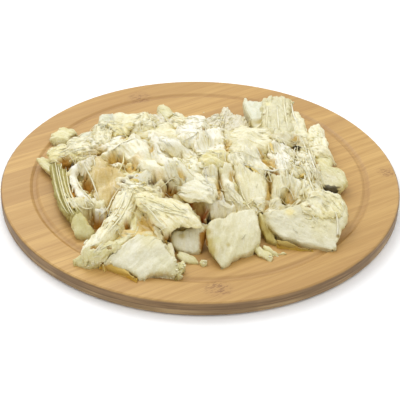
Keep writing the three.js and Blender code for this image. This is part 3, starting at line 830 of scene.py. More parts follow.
# The first sheets lie behind the others and belong to the flakes behind
SHEETS_BEHIND = 25
heap_sheets = [
    # under the flakes in front, an amber sheet that is painted shade of the crevices
    torn_piece(
        [(104, 226), (114, 216), (132, 212), (150, 214), (164, 224), (160, 238), (146, 236),
         (134, 234), (118, 240), (106, 238)],
        (10, 3), 15, PAINTED_SHADE_AMBER, ROUGH_CHUNK, level=14, rise=(0, 0.35),
    ),
    torn_piece(
        [(150, 208), (170, 209), (186, 213), (197, 219), (198, 223), (180, 222), (166, 223),
         (156, 220)],
        (10, 3), 14, CREAM, SLAB, level=18, rise=(0, 0.35),
    ),
    torn_piece(
        [(154, 230), (162, 228), (168, 234), (172, 246), (175, 258), (178, 266), (172, 266),
         (165, 252), (158, 240)],
        (6, 10), 12, CREAM, ROUGH_CHUNK, toe=(177, 268), rise=(0, 0.7), top=16,
    ),
    # along the left side
    torn_piece(
        [(37, 158), (41, 155), (47, 158), (54, 161), (58, 166), (55, 173), (48, 170), (41, 163)],
        (8, 5), 6, GREENISH, PLUMP, level=8,
    ),
    torn_piece(
        [(84, 166), (86, 156), (93, 147), (104, 147), (112, 156), (118, 168), (124, 180),
         (124, 191), (118, 201), (112, 213), (108, 222), (103, 212), (97, 203), (93, 192),
         (88, 178)],
        (3, 10), 4, TAN, dict(SHEET, fibre=2.4),
    ),
    torn_piece(
        [(70, 167), (76, 163), (84, 163), (80, 168), (77, 175), (79, 184), (85, 193), (93, 202),
         (101, 211), (108, 219), (105, 223), (97, 217), (88, 208), (80, 200), (73, 191),
         (70, 180)],
        (8, 14), 3, WHITE, dict(SHEET, fray=1, wander=1.5, edge=3, rim=0.5, growth=0.2),
    ),
    torn_piece(
        [(68, 151), (80, 147), (92, 149), (94, 158), (90, 168), (85, 174), (79, 169), (73, 161)],
        (5, 8), 3, GREY, dict(SHEET, fibre=2.2),
    ),
    torn_piece(
        [(51, 146), (60, 144), (70, 143), (80, 146), (92, 148), (92, 154), (84, 157), (72, 156),
         (64, 157), (53, 157)],
        (10, 1), 6, YELLOW, level=16.5, rise=(0.15, -0.1),
    ),
    torn_piece(
        [(70, 139), (80, 136), (92, 137), (98, 142), (94, 150), (80, 149), (70, 147)],
        (10, 1), 5, CREAM, level=20, rise=(0.1, -0.2),
    ),
    torn_piece(
        [(79, 136), (84, 132), (92, 131), (100, 128), (106, 131), (99, 137), (90, 140), (82, 140)],
        (10, -3), 5, BLUISH, level=16, rise=(0.1, 0.1),
    ),
    torn_piece(
        [(72, 193), (78, 197), (85, 203), (93, 212), (96, 218), (90, 217), (82, 212), (74, 206),
         (70, 199)],
        (10, 9), 3.5, CREAM,
    ),
    torn_piece(
        [(90, 195), (98, 202), (106, 208), (109, 218), (106, 226), (100, 219), (95, 210),
         (90, 203)],
        (6, 10), 3.5, CREAM,
    ),
    # back left
    torn_piece(
        [(112, 124), (125, 119), (140, 119), (155, 122), (170, 126), (186, 132), (190, 141),
         (178, 144), (160, 142), (145, 138), (128, 134), (114, 132)],
        (10, 2), 4, CREAM, SHEET,
    ),
    torn_piece(
        [(90, 138), (98, 131), (108, 129), (118, 128), (127, 132), (124, 139), (114, 145),
         (103, 149), (95, 146)],
        (10, -4), 4.5, WHITE, SHEET,
    ),
    torn_piece(
        [(146, 119), (152, 114), (160, 113), (168, 118), (166, 127), (154, 129)],
        (4, 10), 5, GREY, level=18, rise=(0, -0.1),
    ),
    torn_piece(
        [(158, 107), (163, 103), (169, 107), (173, 113), (168, 118), (159, 117)],
        (10, 3), 6, GREENISH, PLUMP, level=16.5, rise=(0.1, -0.1),
    ),
    torn_piece(
        [(166, 108), (178, 112), (190, 117), (202, 119), (200, 129), (184, 131), (170, 126)],
        (10, 3), 6, CREAM, level=19, rise=(0.1, -0.1),
    ),
    torn_piece(
        [(104, 154), (108, 147), (118, 143), (130, 137), (140, 136), (150, 145), (158, 156),
         (168, 164), (178, 172), (181, 182), (172, 181), (160, 178), (148, 172), (140, 164),
         (132, 158), (120, 153), (110, 157)],
        (10, 8), 7, IVORY, SHEET,
    ),
    torn_piece(
        [(147, 132), (158, 132), (166, 142), (175, 154), (185, 166), (187, 177), (178, 177),
         (168, 167), (158, 156), (153, 146)],
        (6, 10), 6, WHITE, SHEET,
    ),
    # back centre
    torn_piece(
        [(216, 119), (222, 112), (227, 106), (232, 112), (240, 115), (247, 122), (242, 128),
         (228, 131), (218, 129)],
        (3, -10), 5, GREY, level=18.5, rise=(0, -0.1),
    ),
    torn_piece(
        [(198, 121), (208, 116), (218, 113), (223, 120), (218, 129), (206, 132)],
        (8, -4), 5, GREY, level=20, rise=(0, -0.1),
    ),
    torn_piece(
        [(160, 136), (175, 138), (190, 139), (202, 146), (208, 156), (200, 162), (185, 157),
         (172, 152), (162, 147)],
        (10, 4), 4, WHITE, SHEET,
    ),
    torn_piece(
        [(178, 126), (187, 118), (197, 114), (206, 119), (208, 130), (204, 140), (194, 145),
         (184, 141), (178, 134)],
        (3, 10), 5, WHITE, SHEET,
    ),
    torn_piece(
        [(198, 136), (210, 127), (224, 129), (227, 142), (225, 154), (212, 157), (200, 153),
         (195, 144)],
        (4, 10), 4.5, WHITE, SHEET,
    ),
    torn_piece(
        [(172, 158), (184, 152), (198, 156), (206, 164), (208, 176), (196, 178), (184, 175),
         (174, 168)],
        (8, 6), 4, IVORY, SHEET,
    ),
    torn_piece(
        [(203, 154), (214, 150), (228, 152), (240, 158), (243, 167), (228, 169), (214, 168),
         (205, 165)],
        (10, 2), 4.5, YELLOW, SHEET,
    ),
    # front left
    # a golden sheet low under the front flakes, painted shade of the crevices there
    torn_piece(
        [(114, 222), (122, 216), (134, 214), (150, 214), (160, 224), (158, 236), (146, 232),
         (130, 232), (118, 236)],
        (10, 2), 3, PAINTED_SHADE_GOLDEN, lift=-1,
    ),
    torn_piece(
        [(133, 201), (141, 201), (138, 211), (129, 221), (120, 230), (113, 231), (120, 221),
         (128, 211)],
        (-9, 12), 2, CREAM, STRIP, level=19, rise=(0, 0.3),
    ),
    torn_piece(
        [(136, 203), (143, 203), (141, 214), (138, 226), (134, 230), (130, 228), (133, 215)],
        (-2, 12), 2, YELLOW, STRIP, level=19, rise=(0, 0.3),
    ),
    torn_piece(
        [(140, 202), (148, 205), (155, 214), (162, 226), (166, 237), (160, 237), (152, 225),
         (144, 213)],
        (9, 12), 2, CREAM, STRIP, level=19, rise=(0, 0.3),
    ),
    torn_piece(
        [(122, 178), (134, 174), (146, 175), (158, 181), (163, 190), (158, 199), (146, 197),
         (130, 195)],
        (10, 3), 3.5, IVORY, CRUMBLY_FLAKE,
    ),
    torn_piece(
        [(122, 192), (134, 187), (150, 187), (163, 191), (176, 199), (188, 207), (195, 217),
         (182, 222), (168, 219), (156, 212), (142, 206), (128, 204)],
        (10, 4), 4, PALE_YELLOW, SOFT_SHEET,
    ),
    torn_piece(
        [(150, 205), (164, 203), (178, 206), (190, 211), (199, 218), (200, 223), (186, 223),
         (170, 223), (158, 218)],
        (10, 2), 4, SOFT_YELLOW, SOFT_SHEET,
    ),
    torn_piece(
        [(136, 194), (150, 191), (163, 196), (176, 199), (187, 203), (196, 212), (202, 221),
         (196, 223), (184, 223), (172, 225), (164, 226), (157, 220), (149, 212), (141, 202)],
        (10, 4), 4, WARM_YELLOW, dict(SHEET, fibre=1.4, crumb=1.3, edge=6, wander=5, shreds=0.02),
        level=26, rise=(0.02, 0.38),
    ),
    torn_piece(
        [(117, 190), (127, 184), (136, 190), (135, 205), (129, 217), (119, 230), (108, 240),
         (97, 248), (86, 252), (80, 247), (82, 240), (92, 232), (99, 225), (106, 215), (112, 204)],
        (-10, 12), 10, CREAM, dict(SLAB, edge=7, rim=0.3, fibre=2), level=21, rise=(0.05, 0.24),
    ),
    torn_piece(
        [(84, 248), (92, 245), (104, 244), (113, 240), (119, 243), (112, 250), (100, 255),
         (90, 255), (84, 253)],
        (10, -3), 5, GREENISH, dict(FLAKE, fray=3),
    ),
    # right
    torn_piece(
        [(284, 172), (296, 169), (306, 173), (312, 186), (308, 198), (298, 201), (288, 194)],
        (3, 12), 4, IVORY,
    ),
    torn_piece(
        [(306, 172), (316, 178), (324, 190), (322, 199), (310, 197), (305, 184)],
        (4, 10), 4, CREAM,
    ),
    torn_piece(
        [(288, 152), (298, 152), (308, 158), (314, 168), (304, 175), (292, 172)],
        (6, 8), 3.5, CREAM, CRUMBLY_FLAKE,
    ),
    torn_piece(
        [(226, 132), (240, 128), (256, 127), (268, 131), (273, 140), (270, 150), (256, 153),
         (244, 155), (233, 157), (230, 145)],
        (10, 1), 5, CREAM, SHEET,
    ),
    torn_piece(
        [(233, 153), (246, 148), (258, 150), (262, 160), (268, 170), (256, 174), (243, 169),
         (235, 161)],
        (5, 8), 4, IVORY,
    ),
    torn_piece(
        [(271, 148), (280, 142), (290, 146), (293, 156), (290, 166), (281, 170), (272, 162)],
        (4, 10), 4.5, WHITE,
    ),
    torn_piece(
        [(300, 142), (307, 140), (313, 150), (315, 160), (319, 173), (313, 178), (306, 168),
         (300, 157)],
        (4, 10), 4.5, IVORY,
    ),
    torn_piece(
        [(271, 172), (281, 170), (286, 182), (286, 194), (277, 204), (270, 197), (273, 186)],
        (2, 12), 4, CREAM,
    ),
    torn_piece(
        [(236, 168), (250, 169), (262, 172), (267, 184), (269, 197), (262, 208), (251, 209),
         (245, 198), (239, 184)],
        (4, 12), 4.5, CREAM, SHEET,
    ),
    torn_piece(
        [(204, 197), (216, 195), (228, 200), (238, 203), (248, 202), (240, 207), (224, 212),
         (208, 216)],
        (10, 2), 4, WHITE,
    ),
    torn_piece(
        [(221, 172), (230, 168), (233, 180), (237, 194), (247, 206), (240, 211), (230, 203),
         (223, 187)],
        (6, 12), 4.5, IVORY,
    ),
    torn_piece(
        [(205, 171), (214, 170), (219, 180), (223, 195), (233, 206), (226, 212), (214, 208),
         (207, 192)],
        (6, 12), 4.5, WHITE,
    ),
    torn_piece(
        [(258, 200), (268, 197), (280, 201), (292, 198), (300, 200), (288, 206), (274, 210),
         (262, 209)],
        (10, -2), 2.5, IVORY,
    ),
    torn_piece(
        [(303, 204), (314, 195), (326, 191), (338, 192), (345, 199), (346, 208), (337, 214),
         (322, 213), (310, 210)],
        (10, 4), 3, CREAM,
    ),
    torn_piece(
        [(181, 174), (192, 170), (206, 170), (214, 178), (216, 191), (208, 197), (194, 197),
         (183, 193)],
        (10, 2), 5, IVORY, dict(SHEET, fibre=2.8, lump=1.2, rim=0.5), level=31, rise=(0, 0.3),
    ),
]
gather("heap_flakes_behind", heap_sheets[:SHEETS_BEHIND], "cod_heap")
gather("heap_flakes_in_front", heap_sheets[SHEETS_BEHIND:], "cod_heap")


# ---- Scraps ----
# Small torn scraps of the flakes fill the heap between the broad ones and cover its back, which
# the photograph doesn't show.
SCRAP_CORNERS = 9
BACK_REACH = (112, 97)
MIDDLE_REACH = (108, 98)
# The shortest and the longest length, width and thickness of the scraps
BACK_SIZES = [(24, 40), (13, 22), (3, 4.5)]
MIDDLE_SIZES = [(9, 20), (5, 10), (0.8, 1.4)]
MIDDLE_TRIES = 45


def inside(outline, x, y):
    odd = False
    for a, b in zip(outline, outline[1:] + outline[:1]):
        if (a.y > y) != (b.y > y) and x < a.x + (b.x - a.x) * (y - a.y) / (b.y - a.y):
            odd = not odd
    return odd


def torn_scrap(x, y, turn, length, width, thickness, colour):
    """A scrap of uneven outline, at millimetres on the board."""
    corners = []
    cosine, sine = math.cos(turn), math.sin(turn)
    for k in range(SCRAP_CORNERS):
        around = 2 * math.pi * (k + random.uniform(-0.25, 0.25)) / SCRAP_CORNERS
        reach = random.uniform(0.75, 1.15)
        right, back = length / 2 * reach * math.cos(around), width / 2 * reach * math.sin(around)
        corners.append((x + right * cosine - back * sine, y + right * sine + back * cosine))
    kind = dict(FLAKE, growth=0, edge=min(8, width / 2))
    return torn_piece(corners, (cosine, sine), thickness, colour, kind, plan=True)


firm_outlines = [outline for _, _, outline, _, _, firm in laid if firm]
random.seed(8)
back_scraps = []
for around in range(10, 176, 9):
    for share in (0.97, 0.86):
        turn = math.radians(around + random.uniform(-4, 4))
        x = HEAP_MIDDLE[0] / MM + share * BACK_REACH[0] * math.cos(turn)
        y = HEAP_MIDDLE[1] / MM + share * BACK_REACH[1] * math.sin(turn)
        too_far_in_front = y < (-10 if share > 0.9 else 20)
        if too_far_in_front or any(inside(outline, x * MM, y * MM) for outline in firm_outlines):
            continue
        turn += random.uniform(-0.9, 0.9)
        size = [random.uniform(*limits) for limits in BACK_SIZES]
        colour = random.choice([CREAM, IVORY, YELLOW, CREAM, IVORY])
        back_scraps.append(torn_scrap(x, y, turn, *size, colour))
gather("back_scraps", back_scraps, "cod_heap")

middle_scraps = []
for _ in range(MIDDLE_TRIES):
    around = random.uniform(0, 2 * math.pi)
    reach = math.sqrt(random.uniform(0, 0.8))
    x = HEAP_MIDDLE[0] / MM + reach * MIDDLE_REACH[0] * math.cos(around)
    y = HEAP_MIDDLE[1] / MM + reach * MIDDLE_REACH[1] * math.sin(around)
    if any(share < 0.1 and inside(outline, x * MM, y * MM) for _, _, outline, _, share, _ in laid):
        continue
    nearest = min(laid, key=lambda piece: (piece[0] - Vector((x, y)) * MM).length)
    turn = nearest[1] + random.gauss(0, 0.5)
    size = [random.uniform(*limits) for limits in MIDDLE_SIZES]
    colour = random.choice([nearest[3], IVORY, WHITE, CREAM])
    middle_scraps.append(torn_scrap(x, y, turn, *size, colour))
gather("middle_scraps", middle_scraps, "cod_heap")


# ---- Gaps in the heap ----
# Between the flakes the heap is open in places. Round such a gap the cod is painted golden at the
# edge and brown to black in the deep: painted shade.
def tree_of(parts):
    spots, corners, start = [], [], 0
    for part in parts:
        part.data.calc_loop_triangles()
        own = np.empty(len(part.data.loop_triangles) * 3, dtype=np.int32)
        part.data.loop_triangles.foreach_get("vertices", own)
        corners.append(own.reshape(-1, 3) + start)
        spots.append(measure(part))
        start += len(part.data.vertices)
    spots, corners = np.vstack(spots).tolist(), np.vstack(corners).tolist()
    return BVHTree.FromPolygons(spots, corners, all_triangles=True)


def seen_on(tree, px, py):
    """Where a pixel of the photograph shows the pieces of a tree, or nothing."""
    return tree.ray_cast(CAMERA_PLACE, sight(px, py).normalized())[0]


def tints_of(part):
    tones = np.empty(len(part.data.vertices) * 4, dtype=np.float32)
    part.data.attributes["tint"].data.foreach_get("color", tones)
    return tones.reshape(-1, 4)


AMBER = rgb(220, 190, 112)
BROWN = rgb(172, 124, 52)
RUSSET = rgb(166, 92, 36)
DEEP = rgb(92, 62, 28)
SHADE = rgb(34, 20, 9)
OVERHANG = 5 * MM
RAGGED = 2.6 * MM
GAP_ENDS = 1.3
# Each gap as its middle in the photograph, its reach to the right and to the back on the board and
# its depth in millimetres, its turn in degrees and the colour of the painted shade at its bottom
GAPS = [
    (114, 159, 5, 7, 7, 0, AMBER), (122, 162, 5, 6, 7, 0, AMBER), (131, 166, 6, 4, 6, -25, AMBER),
    (150, 146, 2.2, 6, 6, 35, AMBER), (139, 171, 1.8, 1.4, 6, 0, DEEP),
    (168, 192, 6, 6, 7, 0, BROWN), (166, 183, 3, 0.8, 4, 0, DEEP), (88, 184, 3, 13, 10, 30, BROWN),
    (64, 161, 5, 5, 8, 0, BROWN), (67, 171, 2, 5, 8, 5, BROWN), (97, 221, 6, 9, 11, 35, BROWN),
    (73, 194, 2, 8, 7, 15, BROWN), (202, 211, 5, 8, 8, 20, RUSSET),
    (193, 204, 6, 2, 5, -8, RUSSET), (208, 217, 1.5, 3, 8, 0, SHADE),
    (146, 224, 5, 7, 4, 20, AMBER), (127, 226, 2.5, 2, 6, 0, BROWN), (167, 238, 3, 4, 8, 0, BROWN),
    (331, 190, 8, 2.2, 12, 0, SHADE), (219, 186, 2, 11, 6, 0, AMBER),
    (232, 179, 2, 7, 3, 0, AMBER), (269, 188, 2, 16, 7, -8, AMBER), (268, 162, 5, 9, 6, 30, AMBER),
    (261, 155, 4, 4, 5, 0, AMBER), (275, 171, 6, 2, 7, -10, BROWN), (294, 148, 4, 6, 14, 0, SHADE),
    (295, 140, 3, 3, 7, 0, AMBER), (284, 199, 2.5, 3.2, 10, 0, SHADE),
    (290, 197, 4, 5, 6, 0, AMBER), (228, 143, 2.5, 9, 7, 0, AMBER),
    (315, 163, 1.5, 15, 7, -12, BROWN), (123, 180, 2, 1, 5, 0, DEEP),
    (131, 177, 1.6, 1, 4, 0, DEEP), (153, 181, 3, 1, 4, -10, DEEP),
    (206, 129, 2.5, 2, 8, 0, BROWN), (124, 137, 2, 4, 5, -20, AMBER),
    (309, 206, 1.2, 1.2, 5, 0, BROWN), (290, 212, 3, 2, 3, 0, AMBER),
    (95, 246, 4, 1.2, 4, 10, BROWN), (109, 247, 1.5, 1, 4, 0, BROWN),
    (182, 173, 3, 2, 5, -30, AMBER), (177, 126, 3, 2, 4, 0, AMBER),
    (110, 203, 1.5, 12, 5, -20, AMBER), (204, 240, 3, 12, 9, 0, BROWN),
]
heap_parts = [part for part in cod_parts if part.name.startswith(("heap_", "middle_"))]
heap_tree = tree_of(cod_parts)
gap_spots = []
for px, py, *_ in GAPS:
    hit = seen_on(heap_tree, px, py)
    gap_spots.append(hit or seen_through(px, py, heap_height).to_3d())
for part in cod_parts:
    places = measure(part)
    tones = tints_of(part)
    drop = np.zeros(len(places))
    for (px, py, reach_x, reach_y, depth, turn, tone), spot in zip(GAPS, gap_spots):
        sine, cosine = math.sin(math.radians(turn)), math.cos(math.radians(turn))
        x, y = places[:, 0] - spot.x, places[:, 1] - spot.y
        right = (cosine * x + sine * y) / (reach_x * MM)
        back = (-sine * x + cosine * y) / (reach_y * MM)
        off = np.sqrt(right**2 + back**2)
        off[places[:, 2] > spot.z + OVERHANG] = 9
        rough = 0.12 * min(reach_x + reach_y, 6)
        for k in np.nonzero(off < 1.9)[0]:
            off[k] += rough * noise.noise(Vector(places[k]) / RAGGED)
        dip = np.clip((GAP_ENDS - off) / 0.7, 0, 1)
        dip = dip * dip * (3 - 2 * dip)
        drop = np.maximum(drop, 0.75 * depth * MM * dip)
        # Painted shade: from amber at the rim of a gap to its own dark colour in the deep
        shade_fade = 0.3 if tone is SHADE else 0.5
        deep_ends = GAP_ENDS if tone is SHADE else 1.2
        share = np.clip((GAP_ENDS - off) / shade_fade, 0, 1)[:, None] * 0.95
        deep = np.clip((deep_ends - off) / 0.3, 0, 1)[:, None]
        colour = (1 - deep) * np.array(AMBER) + deep * np.array(tone)
        tones = tones * (1 - share) + share * colour
    if part in heap_parts:
        places[:, 2] = np.maximum(places[:, 2] - drop, UNDER_BOARD_TOP)
        put_back(part, places)
    surface_value(part, "tint", "FLOAT_COLOR", tones)
ground[:] = BOARD_TOP
for part in cod_parts:
    settle(part)


# ---- Strands ----
# Single strands and thin ribbons of fibre lie over the pieces and hang across the gaps. They are
# of the same flesh, pulled off along the fibres, flat, and thin at both ends.
bpy.ops.object.select_all(action="DESELECT")
bpy.ops.mesh.primitive_cylinder_add(vertices=4, radius=1.1, depth=1, rotation=(0, math.pi / 2, 0))
shred = bpy.context.object
bpy.ops.object.transform_apply(rotation=True)
bpy.ops.object.mode_set(mode="EDIT")
for cut in (-0.42, -0.3, -0.15, 0, 0.15, 0.3, 0.42):
    bpy.ops.mesh.select_all(action="SELECT")
    bpy.ops.mesh.bisect(plane_co=(cut, 0, 0), plane_no=(1, 0, 0))
bpy.ops.object.mode_set(mode="OBJECT")
shred_shape = measure(shred)
shred_faces = [tuple(face.vertices) for face in shred.data.polygons]
bpy.data.objects.remove(shred)
along_shred = shred_shape[:, 0]
slimming = np.sqrt(np.clip(1 - (2 * np.abs(along_shred)) ** 2.2, 0.02, 1))
STATIONS = np.linspace(-0.5, 0.5, 13)


def bend_shred(store, xs, ys, zs, width, thickness, colour):
    """Bends the shred along a line of thirteen places and keeps it with the others of its kind."""
    heading = np.unwrap(np.arctan2(np.gradient(ys), np.gradient(xs)))
    length = float(np.sum(np.hypot(np.diff(xs), np.diff(ys))))
    px, py, pz, turned = (np.interp(along_shred, STATIONS, v) for v in (xs, ys, zs, heading))
    side = shred_shape[:, 1] * slimming * width / 2
    roll = random.uniform(-0.5, 0.5)
    points = np.column_stack((
        px - np.sin(turned) * side,
        py + np.cos(turned) * side,
        pz + shred_shape[:, 2] * thickness / 2 * np.maximum(slimming, 0.4) + roll * side,
    ))
    shift = [random.uniform(-1, 1) for _ in range(3)]
    grain = np.column_stack((along_shred * length, side, shred_shape[:, 2] * thickness)) + shift
    tone = random.uniform(0.94, 1.04)
    tones = np.tile([c * tone for c in colour[:3]] + [1.0], (len(points), 1))
    store.append((points, grain, tones))


def hang(zs, step, slope):
    """Lifts a line over dips that are steeper than a strand can follow."""
    for i in range(1, len(zs)):
        zs[i] = max(zs[i], zs[i - 1] - slope * step)
    for i in range(len(zs) - 2, -1, -1):
        zs[i] = max(zs[i], zs[i + 1] - slope * step)
    return np.convolve(np.pad(zs, 1, mode="edge"), (0.25, 0.5, 0.25), "valid")


def loose_bits(name, bits, bit_faces):
    """One mesh of many small bits, each given as its points, its grain and its tones."""
    points, grains, tones = zip(*bits)
    size = len(points[0])
    faces = [tuple(v + k * size for v in face) for k in range(len(bits)) for face in bit_faces]
    mesh = bpy.data.meshes.new(name)
    mesh.from_pydata(np.vstack(points).tolist(), [], faces)
    loose = bpy.data.objects.new(name, mesh)
    scene.collection.objects.link(loose)
    surface_value(loose, "grain", "FLOAT_VECTOR", np.vstack(grains))
    surface_value(loose, "tint", "FLOAT_COLOR", np.vstack(tones))
    gather(name, [loose], "cod_heap")


# Each strand as its way through the photograph, its width and thickness in millimetres and its
# colour
STRANDS = [
    ([(52, 164), (55, 182), (60, 200), (68, 218)], 3.0, 2.0, GREENISH),
    ([(55, 163), (59, 182), (64, 200), (71, 216)], 2.6, 2.0, GREENISH),
    ([(58, 166), (62, 184), (67, 202), (74, 216)], 2.2, 1.8, CREAM),
    ([(62, 168), (65, 184), (70, 198), (78, 212)], 2.4, 1.8, GREENISH),
    ([(66, 170), (68, 184), (73, 198), (82, 210)], 2.0, 1.6, CREAM),
    ([(75, 174), (79, 185), (86, 195), (95, 206)], 2.2, 1.4, IVORY),
    ([(84, 166), (88, 176), (93, 186), (99, 200)], 2.4, 1.4, IVORY),
    ([(71, 200), (79, 206), (87, 213), (94, 217)], 3.0, 1.6, CREAM),
    ([(141, 203), (148, 209), (155, 217), (163, 228)], 2.2, 1.4, IVORY),
    ([(120, 188), (112, 203), (107, 214), (99, 226)], 2.6, 1.4, IVORY),
    ([(128, 186), (123, 200), (116, 214), (104, 230)], 3.0, 1.8, IVORY),
    ([(133, 190), (128, 205), (120, 219), (108, 233)], 3.0, 1.6, CREAM),
    ([(110, 150), (118, 146), (127, 142), (136, 138)], 3.6, 1.8, WHITE),
    ([(122, 155), (124, 162), (122, 168), (118, 174)], 2.4, 1.4, CREAM),
    ([(150, 206), (162, 211), (176, 214), (190, 219)], 2.4, 1.4, IVORY),
    ([(148, 200), (160, 204), (172, 210), (186, 213)], 2.2, 1.4, IVORY),
    ([(298, 137), (297, 144), (296, 151), (292, 158)], 1.5, 1.1, IVORY),
    ([(303, 140), (308, 150), (312, 162), (317, 176)], 2.8, 1.6, WHITE),
    ([(308, 142), (311, 152), (314, 164), (320, 177)], 2.2, 1.4, CREAM),
    ([(305, 158), (309, 168), (314, 178), (322, 188)], 2.6, 1.5, IVORY),
    ([(300, 160), (304, 170), (308, 180), (315, 192)], 2.4, 1.4, IVORY),
    ([(226, 184), (230, 194), (236, 202), (243, 209)], 2.2, 1.4, IVORY),
    ([(238, 186), (242, 196), (247, 204), (254, 210)], 2.2, 1.4, CREAM),
    ([(280, 190), (286, 193), (291, 198), (294, 204)], 1.6, 1.1, IVORY),
    ([(258, 170), (266, 171), (273, 172), (280, 170)], 2.4, 1.2, WHITE),
    ([(146, 141), (152, 144), (156, 150), (158, 157)], 2.2, 1.4, CREAM),
    ([(160, 190), (166, 186), (172, 188), (178, 192)], 1.6, 1.1, CREAM),
    ([(212, 113), (217, 120), (221, 127), (224, 134)], 2.0, 1.2, GREY),
    ([(226, 106), (226, 113), (224, 120), (222, 128)], 2.4, 1.4, GREY),
    ([(244, 97), (245, 104), (248, 112), (252, 120)], 2.0, 1.4, BLUISH),
    ([(268, 96), (268, 106), (267, 116), (267, 128)], 2.6, 1.6, CREAM),
    ([(276, 95), (277, 106), (278, 118), (279, 130)], 2.4, 1.6, IVORY),
    ([(284, 97), (284, 106), (286, 118), (288, 130)], 2.6, 1.6, CREAM),
    ([(291, 99), (291, 108), (293, 116), (298, 126)], 2.2, 1.4, WHITE),
    ([(335, 212), (337, 220), (338, 228), (337, 236)], 2.6, 1.4, WHITE),
    ([(184, 142), (190, 138), (196, 134), (202, 128)], 2.2, 1.3, WHITE),
    ([(158, 108), (162, 114), (166, 120), (172, 126)], 2.0, 1.3, GREENISH),
]
STRAND_WIDTH_SHARE = 0.6
STRAND_THICKNESS_SHARE = 0.7
strand_tree = tree_of(cod_parts)
random.seed(21)
strands = []
for way, width, thickness, colour in STRANDS:
    knots = [hit for px, py in way if (hit := seen_on(strand_tree, px, py)) is not None]
    if len(knots) < 3:
        continue
    steps = (STATIONS + 0.5) * (len(knots) - 1)
    line = []
    for value in steps:
        i = min(int(value), len(knots) - 2)
        u = value - i
        before = knots[max(i - 1, 0)]
        after = knots[min(i + 2, len(knots) - 1)]
        a, b = knots[i], knots[i + 1]
        line.append(0.5 * (
            2 * a + (b - before) * u + (2 * before - 5 * a + 4 * b - after) * u**2
            + (3 * a - before - 3 * b + after) * u**3
        ))
    xs, ys = np.array([p.x for p in line]), np.array([p.y for p in line])
    step = float(np.mean(np.hypot(np.diff(xs), np.diff(ys))))
    zs = hang(lie_of(xs, ys, 2) - 0.1 * thickness * MM, step, 1.0)
    width *= STRAND_WIDTH_SHARE * MM
    thickness *= STRAND_THICKNESS_SHARE * MM
    bend_shred(strands, xs, ys, zs, width, thickness, colour)
loose_bits("heap_strands", strands, shred_faces)

# ---- Shreds ----
# Where the flakes are torn, short thin shreds of their fibres have come loose. They lie along the
# fibres, and their ends reach over the torn edges.
SHRED_SPACING = 8 * MM
SHRED_PATCH = 8 * MM * MM
CLEAR_OF_GAPS = 5 * MM
STEEPEST = 5 * MM
SHRED_SUNK = 0.35 * MM
# The least and the most that shreds measure, in millimetres
SHRED_LENGTH = (4, 12)
SHRED_WIDTH = (0.5, 1.3)
SHRED_THICKNESS = (0.35, 0.7)
random.seed(5)
shreds = []
for middle, turn, outline, colour, share, _ in laid:
    low = [min(p[k] for p in outline) for k in (0, 1)]
    high = [max(p[k] for p in outline) for k in (0, 1)]
    count = int(share * (high[0] - low[0]) * (high[1] - low[1]) / SHRED_PATCH)
    starts = [
        (random.uniform(low[0], high[0]), random.uniform(low[1], high[1])) for _ in range(count)
    ]
    starts = [(x, y) for x, y in starts if inside(outline, x, y)]
    if share > 0.02:
        for a, b in zip(outline, outline[1:] + outline[:1]):
            for _ in range(int((b - a).length / SHRED_SPACING)):
                torn = a.lerp(b, random.random()).lerp(middle, random.uniform(-0.02, 0.22))
                starts.append((torn.x, torn.y))
    for x, y in starts:
        by_gap = any((spot.xy - Vector((x, y))).length < CLEAR_OF_GAPS for spot in gap_spots)
        if by_gap and random.random() < 0.8:
            continue
        heading = turn + random.choice((0, math.pi)) + random.gauss(0, 0.22)
        heading = heading + random.gauss(0, 0.4) * STATIONS
        step = random.uniform(*SHRED_LENGTH) * MM / (len(STATIONS) - 1)
        xs = x + np.cumsum(np.cos(heading)) * step
        ys = y + np.cumsum(np.sin(heading)) * step
        width = random.uniform(*SHRED_WIDTH) * MM
        thickness = random.uniform(*SHRED_THICKNESS) * MM
        zs = lie_of(xs, ys, 1) - SHRED_SUNK
        if np.ptp(zs) > STEEPEST:
            continue
        zs = hang(zs, step, 1.5)
        tone = random.choice([colour, IVORY, CREAM, colour])
        bend_shred(shreds, xs, ys, zs, width, thickness, tone)
loose_bits("heap_shreds", shreds, shred_faces)

# ---- Crumbs ----
# Crumbs of flesh lie in the heap's rough places and beside the chunks. They are what is left where
# the fish was torn, and each is a dented ball under two millimetres across.
bpy.ops.object.select_all(action="DESELECT")
bpy.ops.mesh.primitive_ico_sphere_add(subdivisions=1, radius=1)
crumb = bpy.context.object
dents = np.random.default_rng(4).uniform(0.7, 1.25, (len(crumb.data.vertices), 1))
crumb_shape = measure(crumb) * dents
crumb_faces = [tuple(face.vertices) for face in crumb.data.polygons]
bpy.data.objects.remove(crumb)
